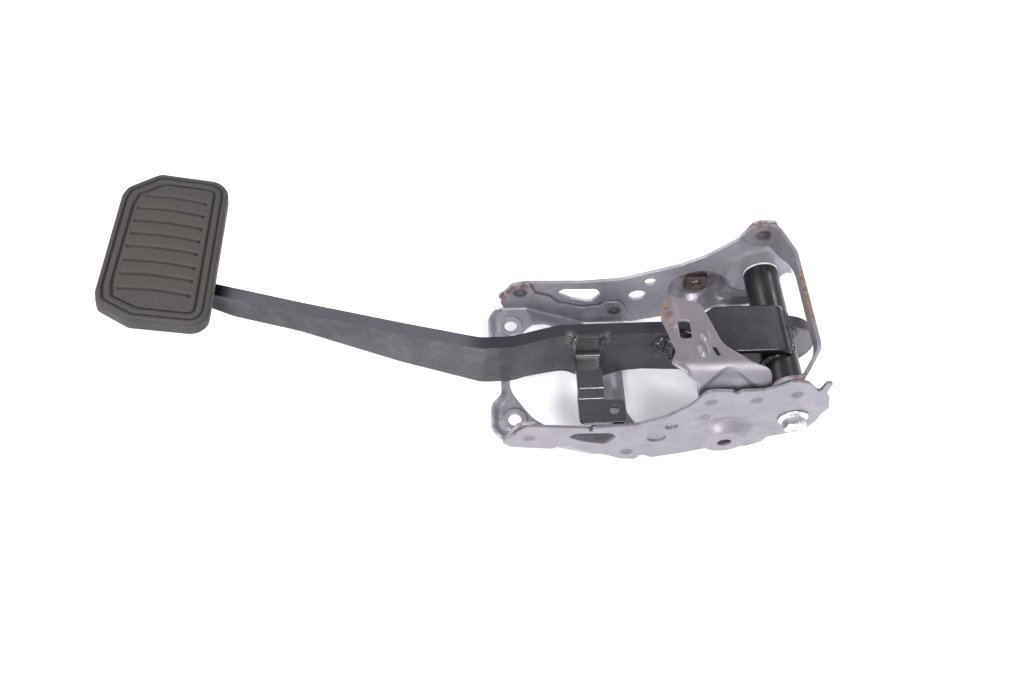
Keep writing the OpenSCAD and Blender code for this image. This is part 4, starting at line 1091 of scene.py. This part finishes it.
def skin(rows, closed_rows=True, cap_start=False, cap_end=False):
    """Faces between rows of points; each row is a ring when closed."""
    n = len(rows[0])
    verts = [p for row in rows for p in row]
    faces = []
    last = n if closed_rows else n - 1
    for i in range(len(rows) - 1):
        for j in range(last):
            a, b = i * n + j, i * n + (j + 1) % n
            faces.append((a, b, b + n, a + n))
    if cap_start:
        faces.append(tuple(reversed(range(n))))
    if cap_end:
        faces.append(tuple(range((len(rows) - 1) * n, len(rows) * n)))
    return verts, faces


def hex_radius(angle, across):
    t = (angle + math.pi / 6) % (math.pi / 3) - math.pi / 6
    return across / 2 / math.cos(t)


def hex_head(across, flange, high, hole, out, base_y, grow, turn=0.0, n=72):
    """Rings of a flanged hexagon head or nut, from its seat out to its top."""
    t = np.arange(n) * 2 * math.pi / n
    hexed = np.array([hex_radius(a + turn, across) for a in t])
    chamfer = across / 2 * 0.97
    rows = []

    def ring(radius, height):
        radius = np.broadcast_to(radius, t.shape)
        height = np.broadcast_to(height, t.shape)
        rows.append([(out[0] + r * math.cos(a), base_y + grow * h, out[1] + r * math.sin(a))
                     for a, r, h in zip(t, radius, height)])

    ring(hole, 0.0)
    ring(flange / 2 - 0.5, 0.0)
    ring(flange / 2, 0.35)
    ring(flange / 2, 1.1)
    ring(flange / 2 - 0.35, 1.45)
    ring(np.maximum(hexed + 0.25, flange / 2 - 1.6), 1.9)
    ring(hexed, 2.5)
    ring(hexed, high - np.maximum(hexed - chamfer, 0) * 0.6 - 0.15)
    ring(np.minimum(hexed - 0.2, chamfer), high)
    return rows, ring, chamfer


def pivot_bolt():
    """The flanged bolt: a chamfered hexagon head with a shallow dish, and its threaded end past the nut."""
    rows, ring, chamfer = hex_head(12.0, 17.8, 7.6, 3.9, PIVOT, -OUT_Y - 1.0, -1.0, math.radians(12))
    ring(4.2, 7.6)
    ring(3.7, 7.1)
    ring(0.02, 7.1)
    verts, faces = skin(rows)
    head = piece("pivot_bolt_head", verts, faces, "bright_zinc", "bracket", ["pivot_bolt"])
    edge_bevel(head, 0.00018, 20.0)
    n, pitch, r = 40, 1.25, 4.0
    y0, y1 = 44.0, OUT_Y + 10.6
    rows = []
    for s in np.linspace(0, 1, int((y1 - y0) / pitch * 8)):
        y = y0 + (y1 - y0) * s
        row = []
        for k in range(n):
            phase = (y / pitch - k / n) % 1.0
            cut = 0.62 * (1 - abs(2 * phase - 1))
            rad = (r - cut) * (1.0 - 0.25 * step_up(y, y1 - 1.2, y1))
            a = 2 * math.pi * k / n
            row.append((PIVOT[0] + rad * math.cos(a), y, PIVOT[1] + rad * math.sin(a)))
        rows.append(row)
    verts, faces = skin(rows, True, True, True)
    thread = piece("pivot_bolt_thread", verts, faces, "bright_zinc", "bracket")
    return head, thread


def pivot_nut():
    """The flanged nut on the far side."""
    rows, ring, chamfer = hex_head(12.0, 17.8, 8.0, 4.1, PIVOT, IN_Y - 1.5 + SHEET, 1.0, math.radians(5))
    ring(4.9, 8.0)
    ring(4.1, 7.3)
    ring(4.1, 0.0)
    verts, faces = skin(rows)
    nut = piece("pivot_nut_flanged", verts, faces, "bright_zinc", "bracket", ["pivot_nut"])
    edge_bevel(nut, 0.00018, 20.0)
    return nut


def bead(name, path, out, width, seed, key="weld_black", lump=0.28, pitch=1.7, flat=0.8, stands_for=()):
    """A weld bead: a lumpy round swept along a path, pushed out along out, with tapered ends."""
    path = np.array(path, float)
    length = np.concatenate([[0], np.cumsum(np.linalg.norm(np.diff(path, axis=0), axis=1))])
    n = max(8, int(length[-1] / 0.45))
    s = np.linspace(0, length[-1], n)
    line = np.stack([np.interp(s, length, path[:, k]) for k in range(3)], axis=1)
    out = np.array(out, float)
    if out.ndim == 1:
        out = np.tile(out, (len(path), 1))
    push = np.stack([np.interp(s, length, out[:, k]) for k in range(3)], axis=1)
    along = np.gradient(line, axis=0)
    along /= np.linalg.norm(along, axis=1)[:, None]
    push -= (push * along).sum(1)[:, None] * along
    push /= np.linalg.norm(push, axis=1)[:, None]
    side = np.cross(along, push)
    rows = []
    for k in range(n):
        end = min(s[k], length[-1] - s[k])
        taper = math.sqrt(max(0.02, min(1.0, end / width)))
        ripple = 0.10 * abs(math.sin(math.pi * s[k] / pitch))
        blob = noise.noise(Vector((s[k] * 0.33, seed * 7.3, 0.0)))
        row = []
        for j in range(16):
            a = 2 * math.pi * j / 16
            rough = noise.noise(Vector((s[k] * 0.9, 2.2 * math.cos(a) + seed, 2.2 * math.sin(a))))
            rad = width * taper * (1.0 + lump * blob + ripple + 0.22 * rough)
            row.append(line[k] + side[k] * math.cos(a) * rad + push[k] * math.sin(a) * rad * flat)
        rows.append(row)
    verts, faces = skin(rows, True, True, True)
    return piece(name, verts, faces, key, "pedal", stands_for)


def ring_path(radius, y, start, end, n=40):
    """An arc round the pivot's axis."""
    t = np.radians(np.linspace(start, end, n))
    path = np.stack([PIVOT[0] + radius * np.cos(t), np.full(n, y), PIVOT[1] + radius * np.sin(t)], axis=1)
    out = np.stack([np.cos(t), np.full(n, -1.0), np.sin(t)], axis=1)
    return path, out


def weld_beads():
    path, out = ring_path(TUBE_R + 0.6, ARM_NEAR_Y - 0.4, -75, 75)
    made = [bead("tube_bead", path, out, 2.4, 1.0, stands_for=["tube_weld"])]
    x = PIVOT[0] - 66.0
    for k, (y, s) in enumerate(((ARM_NEAR_Y, -1), (ARM_FAR_Y, 1))):
        path = [(x, y + 0.6 * s, 17.0), (x - 0.6, y + 0.8 * s, 30.0), (x, y + 0.6 * s, 43.5)]
        stands = ["box_welds"] if k == 0 else ()
        made.append(bead(f"box_bead_{k}", path, (-1, s, 0), 3.6, 3.0 + k, lump=0.55, pitch=2.6, stands_for=stands))
    path = [(92.6, ARM_NEAR_Y - 0.5, 22.0), (90.4, ARM_NEAR_Y - 0.8, 31.0), (92.8, ARM_NEAR_Y - 0.6, 40.5)]
    made.append(bead("box_spatter_bead", path, (-0.4, -1, 0), 3.1, 17.0, lump=0.75, pitch=3.1))
    path, out = ring_path(TUBE_R + 0.4, -19.4, 105, 285)
    made.append(bead("box_tube_bead", path, out, 1.9, 11.0, lump=0.4))
    path = [(169.2, -17.5, 45.3), (169.8, -3.0, 45.0), (169.2, 13.5, 45.3)]
    made.append(bead("box_end_bead", path, (0.5, 0, 1), 2.2, 13.0, lump=0.45, pitch=2.2))
    for k, (x, s) in enumerate(((39.0, -1), (54.6, 1))):
        path = [(x + 0.3 * s, ARM_NEAR_Y - 0.4, 27.5), (x + 0.5 * s, ARM_NEAR_Y - 0.5, 43.5)]
        stands = ["strip_welds"] if k == 0 else ()
        made.append(bead(f"strip_bead_{k}", path, (s, -1, 0), 2.1, 6.0 + k, lump=0.4, stands_for=stands))
    return made


def pad_outline(m, steps=7):
    """The pad's outline in its own plane, drawn in by m, as (u, v)."""
    a, b, k = PAD_W / 2 - m, PAD_L / 2 - m, 0.41 * m
    return rounded([
        (a, -b, 11 - 0.85 * m), (a, b, 11 - 0.85 * m), (-a + 20 - k, b, 8 - 0.5 * m),
        (-a + 3, b - 14 + k, 7 - 0.4 * m), (-a + 0.8, b - 20, 8), (-a - 1.2, -b + 17, 5),
        (-a + 0.5, -b + 9.5 - k, 4.5 - 0.25 * m), (-a + 19 - k, -b, 8 - 0.5 * m)], steps)


def pad_place(u, v, w):
    """Points of the pad in the shared frame: u along its width, v along its length, w out of its face."""
    c, s = math.cos(PAD_TILT), math.sin(PAD_TILT)
    return np.stack([PAD_MIDDLE[0] + u * c + w * s, PAD_MIDDLE[1] + v, PAD_MIDDLE[2] - u * s + w * c], axis=1)


# Places of the grooves along the pad, from its middle, and their ends across it
GROOVES = [34.9, 25.0, 15.1, 5.5, -4.0, -14.3, -23.9, -34.3]
GROOVE_ENDS = (-21.2, 19.3)


def panel_height(u, v):
    """Height of the ribbed panel: each groove is steep on its near side and eases out on its far side."""
    w = -0.35 + 0.35 * (1 - (u / 24.0) ** 2) * 0.4
    border = gap_to(np.stack([u, v], axis=1), pad_outline(9.9))
    deep = looks().groove_depth / MM * step_up(border, 0.3, 1.5)
    for place in GROOVES:
        line = place + 1.3 * (1 - ((u + 1.0) / 20.0) ** 2) - 0.4
        d = v - line
        cut = step_up(d, -0.75, -0.35) * (1 - step_up(d, 0.1, 2.2))
        ends = step_up(u, GROOVE_ENDS[0] - 0.4, GROOVE_ENDS[0] + 0.8)
        ends = ends * (1 - step_up(u, GROOVE_ENDS[1] - 0.8, GROOVE_ENDS[1] + 0.4))
        w = w - deep * cut * ends
        dot = np.hypot(u - GROOVE_ENDS[1] + 0.6, d + 0.1)
        w = w - 0.5 * deep * (1 - step_up(dot, 0.6, 1.4))
    return w


def pad_rubber():
    """The pad: a rounded rim, a trough inside it and a panel with eight grooves."""
    section = [
        (7.5, -9.4), (7.5, -11.6), (7.1, -12.0), (1.6, -12.0), (0.6, -11.6), (0.1, -10.9), (0.0, -10.0), (0.05, -6.0),
        (0.1, -3.0), (0.3, -1.7), (0.7, -0.8), (1.3, -0.25), (2.0, 0.0), (2.6, -0.05), (3.0, -0.35), (3.3, -1.1),
        (3.6, -1.5), (3.95, -1.3), (4.3, -0.65), (4.8, -0.3), (5.8, -0.22), (6.8, -0.3), (7.3, -0.55), (7.7, -1.25),
        (8.05, -1.85), (8.4, -1.75), (8.75, -1.1), (9.1, -0.6), (9.5, -0.4), (10.0, -0.35),
    ]
    rows = []
    for m, w in section:
        loop = resampled_even(pad_outline(max(m, 0.0)))
        sag = np.array([0.12 * noise.noise(Vector((p[0] * 0.08, p[1] * 0.08, 0.5))) for p in loop])
        height = np.full(len(loop), w) + (sag if w > -4 else 0)
        rows.append(pad_place(loop[:, 0], loop[:, 1], height))
    verts, faces = skin(rows)
    rim = piece("pad_rim", verts, faces, "pad_rubber", "pedal", ["pad_rubber"])
    panel_loop = resampled_even(pad_outline(9.9))
    rows = np.concatenate([
        np.stack([u, np.full_like(u, 0) + place + 1.3 * (1 - ((u + 1.0) / 20.0) ** 2) - 0.4 + d], axis=1)
        for place in GROOVES for d in (-0.95, -0.6, -0.3, 0.15, 0.7, 1.3, 2.2)
        for u in (np.arange(GROOVE_ENDS[0] - 1.5, GROOVE_ENDS[1] + 1.6, 0.75),)])
    points, faces = net(panel_loop, [], 1.1, rows)
    u, v = points[:, 0], points[:, 1]
    sag = np.array([0.12 * noise.noise(Vector((p[0] * 0.08, p[1] * 0.08, 0.5))) for p in points])
    verts = pad_place(u, v, panel_height(u, v) + sag)
    panel = piece("pad_panel", verts, faces, "pad_rubber", "pedal")
    return rim, panel


def resampled_even(loop, n=260):
    """A closed loop with n evenly spaced points, starting at its first."""
    closed = np.concatenate([loop, loop[:1]])
    length = np.concatenate([[0], np.cumsum(np.linalg.norm(np.diff(closed, axis=0), axis=1))])
    s = np.linspace(0, length[-1], n, endpoint=False)
    return np.stack([np.interp(s, length, closed[:, k]) for k in range(2)], axis=1)


# Finish of each CAD node that stays visible, and the rounding of its edges in millimetres
NODE_FINISH = {
    "base_plate": ("bracket_steel", 0.4), "end_strap": ("bracket_steel", 0.45),
    "switch_bracket": ("bracket_steel", 0.45), "near_weld_nut": ("nut_steel", 0.4),
    "far_weld_nut": ("nut_steel", 0.4), "pivot_sleeve": ("sleeve_steel", 0.2), "pedal_arm": ("arm_black", 0.5),
    "pivot_tube": ("tube_black", 0.3), "near_bush": ("bush_plastic", 0.2), "far_bush": ("bush_plastic", 0.2),
    "arm_box": ("box_black", 0.9), "side_strip": ("strip_black", 0.4), "pad_plate": ("arm_black", 0.3),
    "pad_welds": ("weld_black", 0.4), "near_side_plate": ("bracket_steel", 0.3),
    "far_side_plate": ("bracket_steel", 0.3), "pivot_bolt": ("bright_zinc", 0.2), "pivot_nut": ("bright_zinc", 0.2),
    "pad_rubber": ("pad_rubber", 0.4), "tube_weld": ("weld_black", 0.3), "box_welds": ("weld_black", 0.3),
    "strip_welds": ("weld_black", 0.3),
}


class PedalOperator:
    bl_options = {"REGISTER"}

    def execute(self, context):
        if not FRAME:
            raise RuntimeError("the frame isn't loaded")
        self.build()
        return {"FINISHED"}


class PEDAL_OT_finish_frame(PedalOperator, bpy.types.Operator):
    """Rounds the edges of the CAD pieces and gives them their finishes."""

    bl_idname = "pedal.finish_frame"
    bl_label = "Finish the CAD pieces"

    def build(self):
        for name, (key, width) in NODE_FINISH.items():
            o = FRAME["nodes"][name]
            o.data.materials.clear()
            o.data.materials.append(material(key))
            weld = o.modifiers.new("join_seams", "WELD")
            weld.merge_threshold = 0.00001
            edge_bevel(o, width * MM, 30.0)


class PEDAL_OT_side_plates(PedalOperator, bpy.types.Operator):
    """Presses the two side plates, with their bosses, seats and spot weld dents."""

    bl_idname = "pedal.side_plates"
    bl_label = "Side plates"

    def build(self):
        near_plate()
        far_plate()


class PEDAL_OT_bracket(PedalOperator, bpy.types.Operator):
    """Presses the base plate, the switch bracket and the end strap, and sets the weld nuts."""

    bl_idname = "pedal.bracket"
    bl_label = "Base plate, switch bracket and strap"

    def build(self):
        base_pan()
        switch_sheet()
        strap()
        weld_nut("near_weld_nut_threaded", -1, ["near_weld_nut"])
        weld_nut("far_weld_nut_threaded", 1, ["far_weld_nut"])


class PEDAL_OT_arm(PedalOperator, bpy.types.Operator):
    """Bends the arm's box and the side strip."""

    bl_idname = "pedal.arm"
    bl_label = "Arm box and side strip"

    def build(self):
        box_skin()
        strip_sheet()


class PEDAL_OT_pivot(PedalOperator, bpy.types.Operator):
    """Makes the pivot bolt with its head and thread, and its nut."""

    bl_idname = "pedal.pivot"
    bl_label = "Pivot bolt and nut"

    def build(self):
        pivot_bolt()
        pivot_nut()


class PEDAL_OT_welds(PedalOperator, bpy.types.Operator):
    """Lays the lumpy weld beads of the pedal."""

    bl_idname = "pedal.welds"
    bl_label = "Weld beads"

    def build(self):
        weld_beads()


class PEDAL_OT_pad(PedalOperator, bpy.types.Operator):
    """Makes the rubber pad with its rim, trough and grooves."""

    bl_idname = "pedal.pad"
    bl_label = "Pad"

    def build(self):
        pad_rubber()


def area_light(name, place, target, size, energy, color=(1, 1, 1)):
    data = bpy.data.lights.new(name, "AREA")
    data.shape = "DISK"
    data.size = size
    data.energy = energy
    data.color = color
    o = bpy.data.objects.new(name, data)
    o.location = place
    o.rotation_euler = (Vector(target) - Vector(place)).to_track_quat("-Z", "Y").to_euler()
    bpy.context.scene.collection.objects.link(o)
    return o


class PEDAL_OT_stage(PedalOperator, bpy.types.Operator):
    """Sets the floor, the lights and the camera."""

    bl_idname = "pedal.stage"
    bl_label = "Stage"

    def build(self):
        scene = bpy.context.scene
        z = -23.4
        # The floor's material glows faintly: painted light.
        floor = piece("studio_floor_glowing", [(-9000, -9000, z), (9000, -9000, z), (9000, 9000, z), (-9000, 9000, z)],
                      [(0, 1, 2, 3)], "floor", None)
        world = bpy.data.worlds.new("studio_air")
        world.use_nodes = True
        air = world.node_tree.nodes["Background"]
        air.inputs["Color"].default_value = (0.93, 0.93, 1.0, 1.0)
        air.inputs["Strength"].default_value = 0.68
        scene.world = world
        area_light("key_window", (-0.62, -1.35, 1.0), (0.0, 0.0, 0.03), 0.8, 26.0, (1.0, 0.99, 0.98))
        area_light("top_softbox", (0.42, -0.6, 1.45), (0.0, 0.0, 0.03), 0.5, 14.0, (0.97, 0.97, 1.0))
        area_light("back_window", (-0.95, 0.75, 1.15), (0.0, 0.0, 0.03), 0.8, 7.0, (0.97, 0.98, 1.0))
        area_light("back_strip", (0.95, 0.9, 1.05), (0.05, 0.0, 0.03), 0.3, 4.0, (0.98, 0.98, 1.0))
        data = bpy.data.cameras.new("photo_camera")
        data.lens = 31.105
        data.sensor_width = 36.0
        data.clip_start = 0.01
        camera = bpy.data.objects.new("photo_camera", data)
        camera.matrix_world = Matrix((
            (0.99922, 0.0338, -0.0205, -0.0116), (-0.03956, 0.8544, -0.5181, -0.2821),
            (0.0, 0.5186, 0.8551, 0.5062), (0, 0, 0, 1)))
        scene.collection.objects.link(camera)
        scene.camera = camera
        scene.view_settings.view_transform = "Standard"


class PEDAL_PT_panel(bpy.types.Panel):
    """Lists the pieces of the brake pedal."""

    bl_idname = "PEDAL_PT_panel"
    bl_label = "Brake pedal"
    bl_space_type = "VIEW_3D"
    bl_region_type = "UI"
    bl_category = "Pedal"

    def draw(self, context):
        column = self.layout.column()
        for key in PedalLooks.__annotations__:
            column.prop(context.scene.pedal_looks, key)
        for operator in OPERATORS:
            column.operator(operator.bl_idname)


OPERATORS = [
    PEDAL_OT_finish_frame, PEDAL_OT_side_plates, PEDAL_OT_bracket, PEDAL_OT_pivot, PEDAL_OT_arm, PEDAL_OT_welds, PEDAL_OT_pad, PEDAL_OT_stage,
]
CLASSES = [PedalLooks, *OPERATORS, PEDAL_PT_panel]


def register():
    for cls in CLASSES:
        bpy.utils.register_class(cls)
    bpy.types.Scene.pedal_looks = bpy.props.PointerProperty(type=PedalLooks)


def unregister():
    del bpy.types.Scene.pedal_looks
    for cls in reversed(CLASSES):
        bpy.utils.unregister_class(cls)


def main():
    register()
    FRAME.update(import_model())
    for operator in OPERATORS:
        group, name = operator.bl_idname.split(".")
        if getattr(getattr(bpy.ops, group), name)() != {"FINISHED"}:
            raise RuntimeError(operator.bl_label)


if __name__ == "__main__":
    main()
